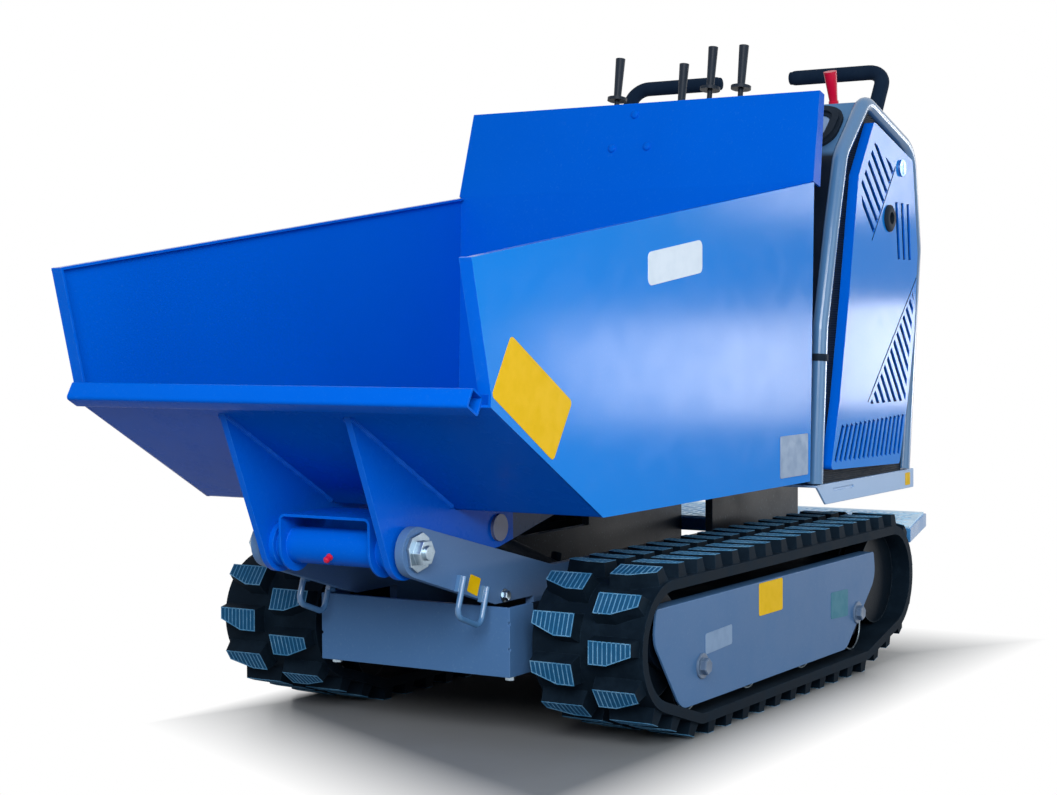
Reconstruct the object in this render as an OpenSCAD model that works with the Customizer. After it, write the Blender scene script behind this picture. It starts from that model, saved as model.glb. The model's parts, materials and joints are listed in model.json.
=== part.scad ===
// Tracked mini dumper: a rubber-tracked carrier with a forward-tipping sheet-steel skip,
// an engine hood behind it and a step-on platform at the rear.
// Frame: +X forward (the skip tips that way), +Y to the left, +Z up, ground at Z = 0.

/* [Tracks] */
// Width of one rubber track
track_w = 180; // [150:1:195]
// Distance between the middles of the two tracks
track_gauge = 570; // [560:1:640]
// Pitch of the rubber lugs along the track
lug_pitch = 60; // [50:1:72]
// Height of a lug above the belt
lug_h = 20; // [12:1:26]
// Thickness of the belt between the lugs
belt_t = 15; // [10:1:18]
// Radius of the idler and the sprocket under the belt
end_wheel_r = 80; // [70:1:86]
// Height of the idler and sprocket axles
end_wheel_z = 148; // [140:1:160]
// Place of the front idler axle
idler_x = 396; // [380:1:410]
// Place of the rear sprocket axle
sprocket_x = -459; // [-470:1:-440]
// Radius of a bottom roller
roller_r = 40; // [34:1:46]
// Place of the foremost bottom roller
front_roller_x = 297; // [280:1:297]
// Place of the rearmost bottom roller
rear_roller_x = -334; // [-345:1:-310]
// Number of bottom rollers in each track
roller_count = 4; // [3:1:5]

/* [Skip] */
// Outer width of the skip
skip_w = 704; // [640:1:740]
// Sheet thickness of the skip
skip_t = 4; // [3:0.5:6]
// Height of the underside of the flat floor
skip_floor_z = 345; // [340:1:352]
// Rear edge of the flat floor
skip_rear_x = -139; // [-142:1:-100]
// Bend between the flat floor and the front slope
skip_bend_x = 560; // [540:1:590]
// Angle of the front slope
skip_slope = 29.7; // [26:0.1:33]
// Length of the front slope up to the lip tube
skip_slope_len = 324; // [300:1:340]
// Height of the sides at the rear
skip_rear_top_z = 842; // [800:1:880]
// How far the rear wall leans back over its height
skip_rear_lean = 16; // [8:1:24]
// Front top corner of the sides, along X
skip_front_x = 883; // [870:1:884]
// Front top corner of the sides, along Z
skip_front_z = 690; // [660:1:720]
// Height of the leaning back plate above the sides
back_plate_h = 160; // [120:1:190]
// Lean of the back plate from upright
back_plate_lean = 15; // [8:0.5:20]
// Side of the square lip tube
lip_tube_w = 28; // [24:1:32]

/* [Skip hinge] */
// Hinge axis of the skip, along X
pivot_x = 686; // [670:1:700]
// Hinge axis of the skip, height
pivot_z = 298; // [294:1:302]
// Radius of the hinge pin
pivot_pin_r = 20; // [16:0.5:22]
// Outer radius of the hinge tube
hinge_tube_r = 26; // [25:0.5:30]
// Thickness of the two hinge gussets
gusset_t = 10; // [8:0.5:12]
// Gap between a gusset and the arm beside it
gusset_gap = 6; // [5:0.5:10]
// Pin of the tipping cylinder's rod, along X
rod_pin_x = 450; // [440:1:460]
// Pin of the tipping cylinder's rod, height
rod_pin_z = 310; // [308:1:312]
// Radius of the cylinder's pins
cyl_pin_r = 15; // [12:0.5:16]

/* [Tipping cylinder] */
// Base pin of the cylinder, along X
base_pin_x = 56; // [40:1:70]
// Base pin of the cylinder, height
base_pin_z = 170; // [164:1:176]
// Outer radius of the barrel
barrel_r = 30; // [26:0.5:32]
// Length of the barrel from its pin to its gland
barrel_len = 345; // [320:1:360]
// Radius of the rod
rod_r = 16; // [12:0.5:18]

/* [Frame] */
// Gap between the lower frame box and each track
frame_gap = 26; // [20:1:30]
// Bottom of the lower frame box
frame_z = 101; // [95:1:110]
// Top of the lower frame box
frame_top_z = 202; // [196:1:204]
// Front face of the frame's cover box
frame_front_x = 510; // [500:1:512]
// Rear end of the frame
frame_rear_x = -588; // [-600:1:-580]
// Plate thickness of the frame's arms
arm_t = 14; // [10:0.5:16]
// Gap between an arm and the inside of the frame box
arm_inset = 31; // [27:1:34]
// Plate thickness of the lower frame box
frame_t = 6; // [5:0.5:8]

/* [Hood] */
// Width over the two hood hoops
hood_w = 717; // [700:1:722]
// Diameter of the hoop tube
hoop_d = 27; // [22:1:28]
// Top of the engine deck
deck_z = 336; // [332:1:342]
// Depth of the engine deck's folded edge
deck_h = 35; // [28:1:40]
// How far the engine deck's sides lie inside the hood's hoops
deck_inset = 8.5; // [4:0.5:14]
// Front top edge of the engine deck
deck_front_x = -168; // [-170:1:-160]
// Rear edge of the engine deck
deck_rear_x = -625; // [-640:1:-620]
// Sheet thickness of the hood
hood_t = 3; // [2:0.5:4]
// Front foot of the hood's hoops
hood_front_x = -175; // [-178:1:-172]
// Length of the hood from its front foot to its rearmost bend
hood_len = 460; // [440:1:470]
// Height of the hood's highest corner
hood_top_z = 997; // [980:1:1010]
// How far the side panels stand out from the middle of the hoops
panel_proud = 20; // [17:0.5:26]

/* [Platform] */
// Top of the tread plate
platform_z = 229; // [224:1:234]
// Depth of the platform's frame
platform_h = 26; // [22:1:30]
// Half width of the platform at its front
platform_front_y = 358; // [340:1:364]
// Half width of the platform at its rear
platform_rear_y = 280; // [260:1:300]
// Rear edge of the platform
platform_rear_x = -883; // [-884:1:-860]

/* [Controls] */
// Diameter of the handlebars
handlebar_d = 25; // [20:1:28]
// Half width over the handlebars' bends
handlebar_y = 270; // [250:1:285]
// Height of the handlebars' grips
handlebar_z = 1086; // [1060:1:1100]
// Height of the tallest lever's knob above the console
lever_h = 156; // [135:1:170]

/* [Hidden] */
$fn = 48;

// Clearances and cuts
seat_gap = 0.3;
pin_gap = 0.05;
overrun = 2;
arc_steps = 8;
tube_sides = 16;

// Colours
skip_blue = [0.05, 0.22, 0.72];
steel_grey = [0.46, 0.53, 0.62];
dark_steel = [0.16, 0.17, 0.19];
rubber_black = [0.06, 0.06, 0.065];
plastic_black = [0.04, 0.04, 0.045];
lever_red = [0.78, 0.08, 0.07];
bright_steel = [0.78, 0.79, 0.8];

// Plane geometry
function unit(v) = v / norm(v);
function turn(v, a) = [v[0] * cos(a) - v[1] * sin(a), v[0] * sin(a) + v[1] * cos(a)];
function polar(r, a) = [r * cos(a), r * sin(a)];
function side_normal(a, b) = let (d = unit(b - a)) [-d[1], d[0]];
function at_x(a, b, x) = a + (b - a) * (x - a[0]) / (b[0] - a[0]);

// Corner b of the corner a, b, c replaced by an arc of radius r
function corner_arc(a, b, c, r) =
    let (
        u = unit(a - b),
        v = unit(c - b),
        half = acos(max(-1, min(1, u * v))) / 2,
        centre = b + unit(u + v) * r / sin(half),
        start = b + u * r / tan(half) - centre,
        end = b + v * r / tan(half) - centre,
        way = cross([start[0], start[1], 0], [end[0], end[1], 0])[2] > 0 ? 1 : -1
    )
    [for (k = [0:arc_steps]) centre + turn(start, way * (180 - 2 * half) * k / arc_steps)];

// Closed outline with a radius for each of its corners
function rounded(p, r) =
    [for (i = [0:len(p) - 1])
        each r[i] > 0
            ? corner_arc(p[(i + len(p) - 1) % len(p)], p[i], p[(i + 1) % len(p)], r[i])
            : [p[i]]];

// Open line with a radius for each of its inner corners, or one for all of them
function eased_each(p, r) =
    [for (i = [0:len(p) - 1])
        each i > 0 && i < len(p) - 1 ? corner_arc(p[i - 1], p[i], p[i + 1], r[i]) : [p[i]]];
function eased(p, r) = eased_each(p, all_radii(p, r));
function all_radii(p, r) = [for (i = [0:len(p) - 1]) r];

// Outline of a bent sheet of thickness t on the left of an open line
function sheet_offset(p, i, t) =
    let (
        before = i > 0 ? side_normal(p[i - 1], p[i]) : side_normal(p[0], p[1]),
        after = i < len(p) - 1 ? side_normal(p[i], p[i + 1]) : before,
        m = unit(before + after)
    )
    p[i] + m * t / (m * before);
function bent_sheet(p, t) =
    concat(p, [for (i = [len(p) - 1:-1:0]) sheet_offset(p, i, t)]);

// Angle at which the line from p touches a circle, on the side given by way
function touch(p, c, r, way) =
    let (d = p - c)
    atan2(d[1], d[0]) + way * acos(r / norm(d));

// Points of an arc that runs anticlockwise from angle a to angle b
function arc(c, r, a, b) =
    let (sweep = b - a - 360 * floor((b - a) / 360))
    [for (k = [0:2 * arc_steps]) c + polar(r, a + sweep * k / (2 * arc_steps))];

// Side view outline in X and Z, given thickness along Y from y on
module along_y(y, t) {
    translate([0, y + t, 0]) rotate([90, 0, 0]) linear_extrude(t) children();
}

// The same on both sides of the machine
module both_sides() {
    children();
    mirror([0, 1, 0]) children();
}

// Round tube of radius r along a line in X and Z at the given y
module tube_along(p, r, y) {
    n = len(p);
    rings = [for (i = [0:n - 1])
        let (
            before = i > 0 ? side_normal(p[i - 1], p[i]) : side_normal(p[0], p[1]),
            after = i < n - 1 ? side_normal(p[i], p[i + 1]) : before,
            m = unit(before + after) * r / (unit(before + after) * before)
        )
        for (k = [0:tube_sides - 1])
            let (a = 360 * k / tube_sides)
            [p[i][0] + m[0] * cos(a), y + r * sin(a), p[i][1] + m[1] * cos(a)]];
    walls = [for (i = [0:n - 2]) for (k = [0:tube_sides - 1])
        let (j = (k + 1) % tube_sides)
        [i * tube_sides + k, i * tube_sides + j, (i + 1) * tube_sides + j, (i + 1) * tube_sides + k]];
    first = [for (k = [tube_sides - 1:-1:0]) k];
    last = [for (k = [0:tube_sides - 1]) (n - 1) * tube_sides + k];
    polyhedron(rings, concat(walls, [first], [last]));
}

// Track loop: the belt runs over four wheels in turn, counted from the idler over the top
track_mid_y = track_gauge / 2;
belt_end_r = end_wheel_r + seat_gap + belt_t;
belt_roller_r = roller_r + seat_gap + belt_t;
roller_z = lug_h + belt_roller_r;
loop_c = [[idler_x, end_wheel_z], [sprocket_x, end_wheel_z],
          [rear_roller_x, roller_z], [front_roller_x, roller_z]];
loop_r = [belt_end_r, belt_end_r, belt_roller_r, belt_roller_r];

// Outward angle of the straight run that leaves wheel i
function run_angle(i) =
    let (j = (i + 1) % 4, d = loop_c[j] - loop_c[i])
    atan2(d[1], d[0]) - acos((loop_r[i] - loop_r[j]) / norm(d));
function wrap(a) = a < 0 ? a + 360 : a >= 360 ? a - 360 : a;
function arc_angle(i) = wrap(run_angle(i) - run_angle((i + 3) % 4));
function arc_len(i) = loop_r[i] * arc_angle(i) * PI / 180;
function run_start(i) = loop_c[i] + polar(loop_r[i], run_angle(i));
function run_end(i) = loop_c[(i + 1) % 4] + polar(loop_r[(i + 1) % 4], run_angle(i));
function run_len(i) = norm(run_end(i) - run_start(i));
loop_len = arc_len(0) + arc_len(1) + arc_len(2) + arc_len(3)
    + run_len(0) + run_len(1) + run_len(2) + run_len(3);

// Place [x, z, outward angle] at the distance s along the belt's outside
function loop_place(s, i = 0) =
    s < run_len(i)
        ? let (p = run_start(i) + (run_end(i) - run_start(i)) * s / run_len(i))
          [p[0], p[1], run_angle(i)]
        : s < run_len(i) + arc_len((i + 1) % 4)
            ? let (
                j = (i + 1) % 4,
                a = run_angle(i) + (s - run_len(i)) / loop_r[j] * 180 / PI,
                p = loop_c[j] + polar(loop_r[j], a)
              )
              [p[0], p[1], a]
            : loop_place(s - run_len(i) - arc_len((i + 1) % 4), (i + 1) % 4);

// Lugs: two rows of tapered blocks, one row half a pitch behind the other.
// Each is long beside the belt's middle and cut away slantwise towards the belt's edge.
lug_count = round(loop_len / lug_pitch);
lug_inner_l = 34;
lug_outer_l = 18;
lug_taper = 8;
lug_cut_share = 0.42;
lug_edge = 5;
lug_middle_gap = 22;
lug_flank = 3;
lug_sink = 2;
lug_row_w = track_w / 2 - lug_edge - lug_middle_gap / 2;

function lug_outline(grow, w, z) =
    let (inner = (lug_inner_l + grow) / 2, outer = inner - (lug_inner_l - lug_outer_l))
    [[-inner, -w / 2, z], [inner, -w / 2, z], [inner, (lug_cut_share - 1 / 2) * w, z],
     [outer, w / 2, z], [-inner, w / 2, z]];
module lug() {
    points = concat(
        lug_outline(lug_taper, lug_row_w, -lug_sink),
        lug_outline(0, lug_row_w - 2 * lug_flank, lug_h));
    n = len(points) / 2;
    sides = [for (k = [0:n - 1]) let (j = (k + 1) % n) [n + k, n + j, j, k]];
    polyhedron(points, concat([[for (k = [0:n - 1]) k]], [[for (k = [n - 1:-1:0]) n + k]], sides));
}

// Belt with its lugs, pressed flat where it stands on the ground
module belt_outline(inset) {
    hull() for (i = [0:3]) translate(loop_c[i]) circle(loop_r[i] - inset, $fn = 64);
}

module track() {
    difference() {
        lugged_belt();
        translate([sprocket_x - end_wheel_z, -track_w / 2 - overrun, -end_wheel_z])
            cube([idler_x - sprocket_x + 2 * end_wheel_z, track_w + 2 * overrun, end_wheel_z]);
    }
}
module lugged_belt() {
    along_y(-track_w / 2, track_w) difference() {
        belt_outline(0);
        belt_outline(belt_t);
    }
    for (row = [-1, 1]) for (k = [0:lug_count - 1]) {
        place = loop_place((k + (row + 1) / 4) * loop_len / lug_count);
        translate([place[0], row * (lug_middle_gap + lug_row_w) / 2, place[1]])
            rotate([0, 90 - place[2], 0])
            mirror([0, row < 0 ? 1 : 0, 0])
            lug();
    }
}
module track_left() {
    color(rubber_black) translate([0, track_mid_y, 0]) track();
}
module track_right() {
    color(rubber_black) mirror([0, 1, 0]) translate([0, track_mid_y, 0]) track();
}

// Widths across the frame, from the tracks inwards
frame_w = track_gauge - track_w - 2 * frame_gap;
frame_side_y = frame_w / 2;
arm_y = frame_side_y - frame_t - arm_inset;
arm_pos_y = arm_y - arm_t;
gusset_y = arm_pos_y - gusset_gap;

// Track frames: a beam with two side walls that hold the roller and idler axles
beam_w = 132;
beam_t = 6;
beam_y = track_mid_y - beam_w / 2;
beam_nose = 88;
beam_tail = 87;
beam_front_x = idler_x - beam_nose;
beam_rear_x = sprocket_x + beam_tail;
beam_low_z = 64;
beam_top_z = 196;
beam_chamfer = 40;
idler_eye_r = 30;
cross_tube_r = 34;
cross_tube_shares = [0.137, 0.828];
cover_t = 4;
cover_inset = 10;
cover_y = track_mid_y + track_w / 2 - cover_inset;
boss_r = 14;
cover_bolt_shares = [[0.174, 0.35], [0.906, 0.365]];

module beam_wall() {
    idler_c = [idler_x, end_wheel_z];
    top = [beam_front_x, beam_top_z];
    low = [beam_front_x, beam_low_z];
    polygon(concat(
        [top, [beam_rear_x, beam_top_z], [beam_rear_x, beam_low_z + beam_chamfer],
         [beam_rear_x + beam_chamfer, beam_low_z], low],
        arc(idler_c, idler_eye_r,
            touch(low, idler_c, idler_eye_r, 1), touch(top, idler_c, idler_eye_r, -1))));
}
module track_beam() {
    for (y = [beam_y, beam_y + beam_w - beam_t]) along_y(y, beam_t) beam_wall();
    translate([beam_rear_x, beam_y, beam_top_z - beam_t])
        cube([beam_front_x - beam_rear_x, beam_w, beam_t]);
    for (share = cross_tube_shares)
        translate([beam_front_x + share * (beam_rear_x - beam_front_x), frame_side_y, end_wheel_z])
            rotate([-90, 0, 0])
            cylinder(h = beam_y - frame_side_y, r = cross_tube_r);
    for (share = cover_bolt_shares)
        translate([cover_top_x[0] + share[0] * (cover_top_x[1] - cover_top_x[0]), beam_y + beam_w,
                   cover_low_z + share[1] * (cover_top_z - cover_low_z)])
            rotate([-90, 0, 0])
            cylinder(h = cover_y - beam_y - beam_w, r = boss_r);
}
module track_frames() {
    color(dark_steel) both_sides() track_beam();
}

// End wheels and rollers: two rims on one hub with the belt's guide groove between them
wheel_face_w = 34;
guide_gap = 44;
idler_hub_r = 36;
roller_hub_r = 24;
axle_r = 14;
module twin_wheel(rim_r, hub_r) {
    rotate([-90, 0, 0]) {
        for (s = [-1, 1])
            translate([0, 0, s * (guide_gap + wheel_face_w) / 2 - wheel_face_w / 2])
                cylinder(h = wheel_face_w, r = rim_r);
        translate([0, 0, -guide_gap / 2 - wheel_face_w / 2])
            cylinder(h = guide_gap + wheel_face_w, r = hub_r);
    }
}
// Axle that spans the two walls of the track frame
module beam_axle() {
    rotate([90, 0, 0]) cylinder(h = beam_w - 2 * beam_t - 2 * seat_gap, r = axle_r, center = true);
}
module idler() {
    translate([idler_x, track_mid_y, end_wheel_z]) {
        twin_wheel(end_wheel_r, idler_hub_r);
        beam_axle();
    }
}
module idlers() {
    color(dark_steel) both_sides() idler();
}

// Sprocket: the two rims carry a toothed wheel between them
tooth_count = 9;
tooth_w = 22;
tooth_root_r = 62;
tooth_wheel_w = 24;
module tooth_wheel() {
    circle(tooth_root_r);
    for (k = [0:tooth_count - 1])
        rotate(360 * k / tooth_count) translate([0, -tooth_w / 2])
            square([sqrt(end_wheel_r * end_wheel_r - tooth_w * tooth_w / 4), tooth_w]);
}
module sprocket() {
    translate([sprocket_x, track_mid_y, end_wheel_z]) {
        twin_wheel(end_wheel_r, idler_hub_r);
        along_y(-tooth_wheel_w / 2, tooth_wheel_w) tooth_wheel();
    }
}
module sprockets() {
    color(dark_steel) both_sides() sprocket();
}

motor_r = 52;
module drive_motors() {
    color(dark_steel) both_sides()
        translate([sprocket_x, frame_side_y, end_wheel_z]) rotate([-90, 0, 0])
            cylinder(h = track_mid_y - guide_gap / 2 - wheel_face_w - frame_side_y, r = motor_r);
}

module rollers() {
    color(dark_steel) both_sides()
        for (k = [0:roller_count - 1])
            translate([rear_roller_x + (front_roller_x - rear_roller_x) * k / (roller_count - 1),
                       track_mid_y, roller_z]) {
                twin_wheel(roller_r, roller_hub_r);
                beam_axle();
            }
}

// Grey cover plate inside each track loop, with its top edge folded inwards
cover_top_z = 205;
cover_low_z = 50;
cover_front_top = 42;
cover_rear_top = 80;
cover_front_low = 34;
cover_rear_low = 204;
cover_top_x = [idler_x + cover_front_top, sprocket_x + cover_rear_top];
cover_low_x = [idler_x - cover_front_low, sprocket_x + cover_rear_low];
cover_nose_l = 8;
cover_nose_h = 46;
cover_flange_w = 22;
cover_round_r = 40;
cover_edge_r = 6;

module track_cover() {
    outline = rounded(
        [[cover_top_x[0], cover_top_z], [cover_top_x[1], cover_top_z],
         [cover_top_x[1] - cover_nose_l, cover_top_z - cover_nose_h],
         [cover_low_x[1], cover_low_z], [cover_low_x[0], cover_low_z],
         [cover_top_x[0] + cover_nose_l, cover_top_z - cover_nose_h]],
        [cover_edge_r, cover_edge_r, cover_round_r, cover_round_r, cover_round_r, cover_round_r]);
    along_y(cover_y, cover_t) polygon(outline);
    translate([cover_top_x[1] + cover_edge_r, cover_y - cover_flange_w, cover_top_z - cover_t])
        cube([cover_top_x[0] - cover_top_x[1] - 2 * cover_edge_r, cover_flange_w, cover_t]);
}
module track_covers() {
    color(steel_grey) both_sides() track_cover();
}

// Lower frame box, open at the top for the cylinder
module main_frame() {
    rail_h = frame_top_z - frame_z;
    front_x = frame_front_x - frame_t - cover_depth;
    color(dark_steel) {
        translate([frame_rear_x, -frame_side_y, frame_z])
            cube([front_x - frame_rear_x, frame_w, frame_t]);
        both_sides()
            translate([frame_rear_x, frame_side_y - frame_t, frame_z])
                cube([front_x - frame_rear_x, frame_t, rail_h]);
    }
}

// Front cover: folded sheet on the front of the frame box
cover_depth = 60;
cover_slit_h = 4;
cover_slit_shares = [0.38, 0.75];
module front_cover() {
    cover_h = frame_top_z - frame_z;
    rear_x = frame_front_x - cover_depth - frame_t;
    color(steel_grey) difference() {
        translate([rear_x + seat_gap, -frame_side_y, frame_z])
            cube([cover_depth + frame_t - seat_gap, frame_w, cover_h]);
        translate([rear_x - overrun, -frame_side_y + frame_t, frame_z + frame_t])
            cube([cover_depth + overrun, frame_w - 2 * frame_t, cover_h]);
        both_sides() for (share = cover_slit_shares)
            translate([frame_front_x - frame_t / 2, frame_side_y - frame_t / 2, frame_z + share * cover_h])
                cube([frame_t, frame_t, cover_slit_h]);
    }
}

// Arms: two long plates that carry the skip's hinge in front and the deck at the rear
eye_r = 35;
arm_mid_x = 325;
arm_mid_z = 243;
arm_chin_x = frame_front_x - frame_t - cover_depth;
arm_chin_l = 45;
deck_step = 51;
deck_step_x = deck_front_x - deck_step;
arm_foot_z = frame_z + frame_t;
module arm_outline() {
    pivot = [pivot_x, pivot_z];
    top = [arm_mid_x, arm_mid_z];
    chin = [arm_chin_x + arm_chin_l, frame_top_z + seat_gap];
    polygon(concat(
        [top, [deck_step_x, arm_mid_z], [deck_step_x, deck_z - deck_sheet_t],
         [frame_rear_x, deck_z - deck_sheet_t], [frame_rear_x, arm_foot_z],
         [arm_chin_x - cover_depth, arm_foot_z], [arm_chin_x - cover_depth, frame_top_z + seat_gap],
         chin],
        arc(pivot, eye_r, touch(chin, pivot, eye_r, 1), touch(top, pivot, eye_r, -1))));
}
module frame_arms() {
    color(steel_grey) both_sides() along_y(arm_pos_y, arm_t) difference() {
        arm_outline();
        translate([pivot_x, pivot_z]) circle(pivot_pin_r + pin_gap);
        translate([base_pin_x, base_pin_z]) circle(cyl_pin_r + pin_gap);
    }
}

// Hinge pin with a lock plate, a nut and its stud at each end
lock_plate_w = 50;
lock_plate_cut = 12;
lock_plate_t = 5;
lock_plate_tilt = 13;
nut_af = 32;
nut_h = 12;
stud_r = 10;
stud_l = 16;
module pin_end() {
    half = lock_plate_w / 2;
    edge = half - lock_plate_cut;
    linear_extrude(lock_plate_t) rotate(lock_plate_tilt)
        polygon([[-edge, -half], [edge, -half], [half, -edge], [half, edge],
                 [edge, half], [-edge, half], [-half, edge], [-half, -edge]]);
    cylinder(h = lock_plate_t + nut_h, r = nut_af / sqrt(3), $fn = 6);
    cylinder(h = lock_plate_t + stud_l, r = stud_r);
}
module pivot_pin() {
    color(bright_steel) translate([pivot_x, 0, pivot_z]) {
        rotate([90, 0, 0]) cylinder(h = 2 * arm_y, r = pivot_pin_r, center = true);
        both_sides() translate([0, arm_y, 0]) rotate([-90, 0, 0]) pin_end();
    }
}

// Tie-down rings: a bent bar on each arm, its ends held in two clips
ring_x = 523;
ring_z = 232.5;
ring_w = 64;
ring_drop = 58;
ring_bar_r = 4.5;
ring_tilt = -20;
clip_w = 14;
clip_h = 24;
clip_t = 8;
module tie_down_ring() {
    bar = eased([[0, 0], [0, -ring_drop], [ring_w, -ring_drop], [ring_w, 0]], 3 * ring_bar_r);
    translate([ring_x, arm_y, ring_z]) rotate([0, ring_tilt, 0]) {
        tube_along(bar, ring_bar_r, clip_t);
        for (x = [0, ring_w])
            translate([x - clip_w / 2, 0, -clip_h]) cube([clip_w, clip_t, clip_h]);
    }
}
module tie_down_rings() {
    color(steel_grey) both_sides() tie_down_ring();
}

// Engine deck: folded sheet with a slanted front end and a groove in each side
deck_w = hood_w - 2 * deck_inset;
deck_groove_l = 90;
deck_groove_h = 4;
deck_groove_drop = 10;
deck_groove_share = 0.16;
deck_sheet_t = 4;
deck_slant = 42;
module engine_deck() {
    side = [[deck_front_x, deck_z], [deck_rear_x, deck_z], [deck_rear_x, deck_z - deck_h],
            [deck_front_x - deck_slant, deck_z - deck_h]];
    color(steel_grey) {
        translate([deck_rear_x, -deck_w / 2, deck_z - deck_sheet_t])
            cube([deck_front_x - deck_rear_x, deck_w, deck_sheet_t]);
        both_sides() difference() {
            along_y(deck_w / 2 - deck_sheet_t, deck_sheet_t) polygon(side);
            along_y(deck_w / 2 - deck_sheet_t / 2, deck_sheet_t)
                translate([deck_front_x + deck_groove_share * (deck_rear_x - deck_front_x) - deck_groove_l,
                           deck_z - deck_groove_drop - deck_groove_h])
                square([deck_groove_l, deck_groove_h]);
        }
    }
}

// Hood hoops and panels follow one side outline, from the front foot over the top to the rear foot
hoop_r = hoop_d / 2;
hoop_y = hood_w / 2 - hoop_r;
hood_foot_gap = 2.2;
hood_foot_z = deck_z + hood_foot_gap;
hood_h = hood_top_z - hood_foot_z;
hood_shares = [[0, 0], [0.048, 0.4], [0.148, 0.652], [0.235, 0.849], [0.463, 1],
               [0.937, 0.896], [1, 0.619], [0.88, 0]];
function on_hood(share) = [hood_front_x - share[0] * hood_len, hood_foot_z + share[1] * hood_h];
hood_line = [for (share = hood_shares) on_hood(share)];
hoop_bend_r = 60;
hoop_top_r = 38;
hoop_radii = [for (share = hood_shares) share[1] == 1 ? hoop_top_r : hoop_bend_r];

module hood_hoop() {
    tube_along(eased_each(hood_line, hoop_radii), hoop_r, hoop_y);
}
module hood_frame_left() {
    color(steel_grey) hood_hoop();
}
module hood_frame_right() {
    color(steel_grey) mirror([0, 1, 0]) hood_hoop();
}

// Side panel: a folded tray that stands out from the hoop on a flat seal.
// Its outline, creases and grilles are placed by shares of the hood's length and height.
panel_depth = 18;
panel_face_y = hoop_y + panel_proud;
panel_foot_y = panel_face_y - panel_depth;
panel_shares = [[0.045, 0.035], [0.128, 0.214], [0.213, 0.47], [0.309, 0.797], [0.463, 0.945],
                [0.873, 0.86], [0.93, 0.602], [0.896, 0.381], [0.824, 0.197], [0.735, 0.022]];
panel_corner_r = 8;
slot_w = 10.5;
// Upper grille: slanted slots inside a five-sided field
upper_field_shares = [[0.47, 0.891], [0.672, 0.83], [0.443, 0.639], [0.343, 0.719], [0.33, 0.774]];
upper_slot_angle = 43.4;
upper_slot_pitch = 23.3;
// Rear slots: three upright ones, leaning a little
rear_slot_count = 3;
rear_top_shares = [[0.694, 0.739], [0.817, 0.738]];
rear_low_shares = [[0.724, 0.584], [0.841, 0.584]];
rear_slot_w = 12;
// Lower grille: slanted slots inside a triangle under a crease
lower_field_shares = [[0.874, 0.495], [0.424, 0.194], [0.796, 0.194], [0.889, 0.473]];
lower_slot_angle = 50.3;
lower_slot_pitch = 21.4;
// Foot grille: a fan of slots along the panel's foot
foot_slot_count = 15;
foot_top_shares = [[0.16, 0.145], [0.77, 0.156]];
foot_low_shares = [[0.088, 0.054], [0.72, 0.05]];
// Creases beside the slanted grilles
crease_shares = [[[0.925, 0.543], [0.402, 0.2]], [[0.685, 0.836], [0.44, 0.63]]];
crease_w = 4;
crease_depth = 1;
lock_share = [0.744, 0.834];
lock_r = 15;
lock_body_r = 11;
lock_t = 4;
lock_body_l = 14;
lock_slot_w = 4;
grommet_share = [0.617, 0.693];
grommet_r = 24;
grommet_hole_r = 11;
grommet_lip = 5;
grommet_t = 6;
seal_w = 8;
seal_lap = 10;
seal_gap = 1;

// Closed outline moved inwards by t, for corners that run anticlockwise
function inset_outline(p, t) =
    [for (i = [0:len(p) - 1])
        let (
            before = side_normal(p[(i + len(p) - 1) % len(p)], p[i]),
            after = side_normal(p[i], p[(i + 1) % len(p)]),
            m = unit(before + after)
        )
        p[i] + m * t / (m * before)];
function shares_on_hood(shares) = [for (share = shares) on_hood(share)];
function between(pair, k) = pair[0] + (pair[1] - pair[0]) * k;

module panel_outline(inset) {
    corners = inset_outline(shares_on_hood(panel_shares), inset);
    polygon(rounded(corners, all_radii(corners, max(panel_corner_r - inset, panel_corner_r / 4))));
}
// Strip of width w along a line from a to b
module strip(a, b, w) {
    n = side_normal(a, b) * w / 2;
    polygon([a - n, b - n, b + n, a + n]);
}
// Parallel slots through a field, counted from its first corner
module field_slots(shares, angle, pitch) {
    field = shares_on_hood(shares);
    across = polar(1, angle + 90);
    heights = [for (p = field) (p - field[0]) * across];
    reach = norm(field[0] - field[2]) + norm(field[0] - field[1]);
    intersection() {
        polygon(field);
        union() for (k = [floor(min(heights) / pitch):ceil(max(heights) / pitch)])
            strip(field[0] + across * k * pitch - polar(reach, angle),
                  field[0] + across * k * pitch + polar(reach, angle), slot_w);
    }
}
// Slots whose ends step evenly along two lines
module fan_slots(top_shares, low_shares, count, w) {
    tops = shares_on_hood(top_shares);
    lows = shares_on_hood(low_shares);
    for (k = [0:count - 1])
        strip(between(lows, k / (count - 1)), between(tops, k / (count - 1)), w);
}
module panel_cuts() {
    field_slots(upper_field_shares, upper_slot_angle, upper_slot_pitch);
    field_slots(lower_field_shares, lower_slot_angle, lower_slot_pitch);
    fan_slots(rear_top_shares, rear_low_shares, rear_slot_count, rear_slot_w);
    fan_slots(foot_top_shares, foot_low_shares, foot_slot_count, slot_w);
    translate(on_hood(lock_share)) circle(lock_body_r + seat_gap);
    translate(on_hood(grommet_share)) circle(grommet_r - grommet_lip + seat_gap);
}
module side_panel() {
    difference() {
        along_y(panel_foot_y, panel_depth) panel_outline(0);
        along_y(panel_foot_y - overrun, panel_depth - hood_t + overrun) panel_outline(hood_t);
        along_y(panel_foot_y, panel_depth + overrun) panel_cuts();
        along_y(panel_face_y - crease_depth, crease_depth + overrun)
            for (line = crease_shares) strip(on_hood(line[0]), on_hood(line[1]), crease_w);
    }
}
module side_panel_left() {
    color(skip_blue) side_panel();
}
module side_panel_right() {
    color(skip_blue) mirror([0, 1, 0]) side_panel();
}

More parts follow.
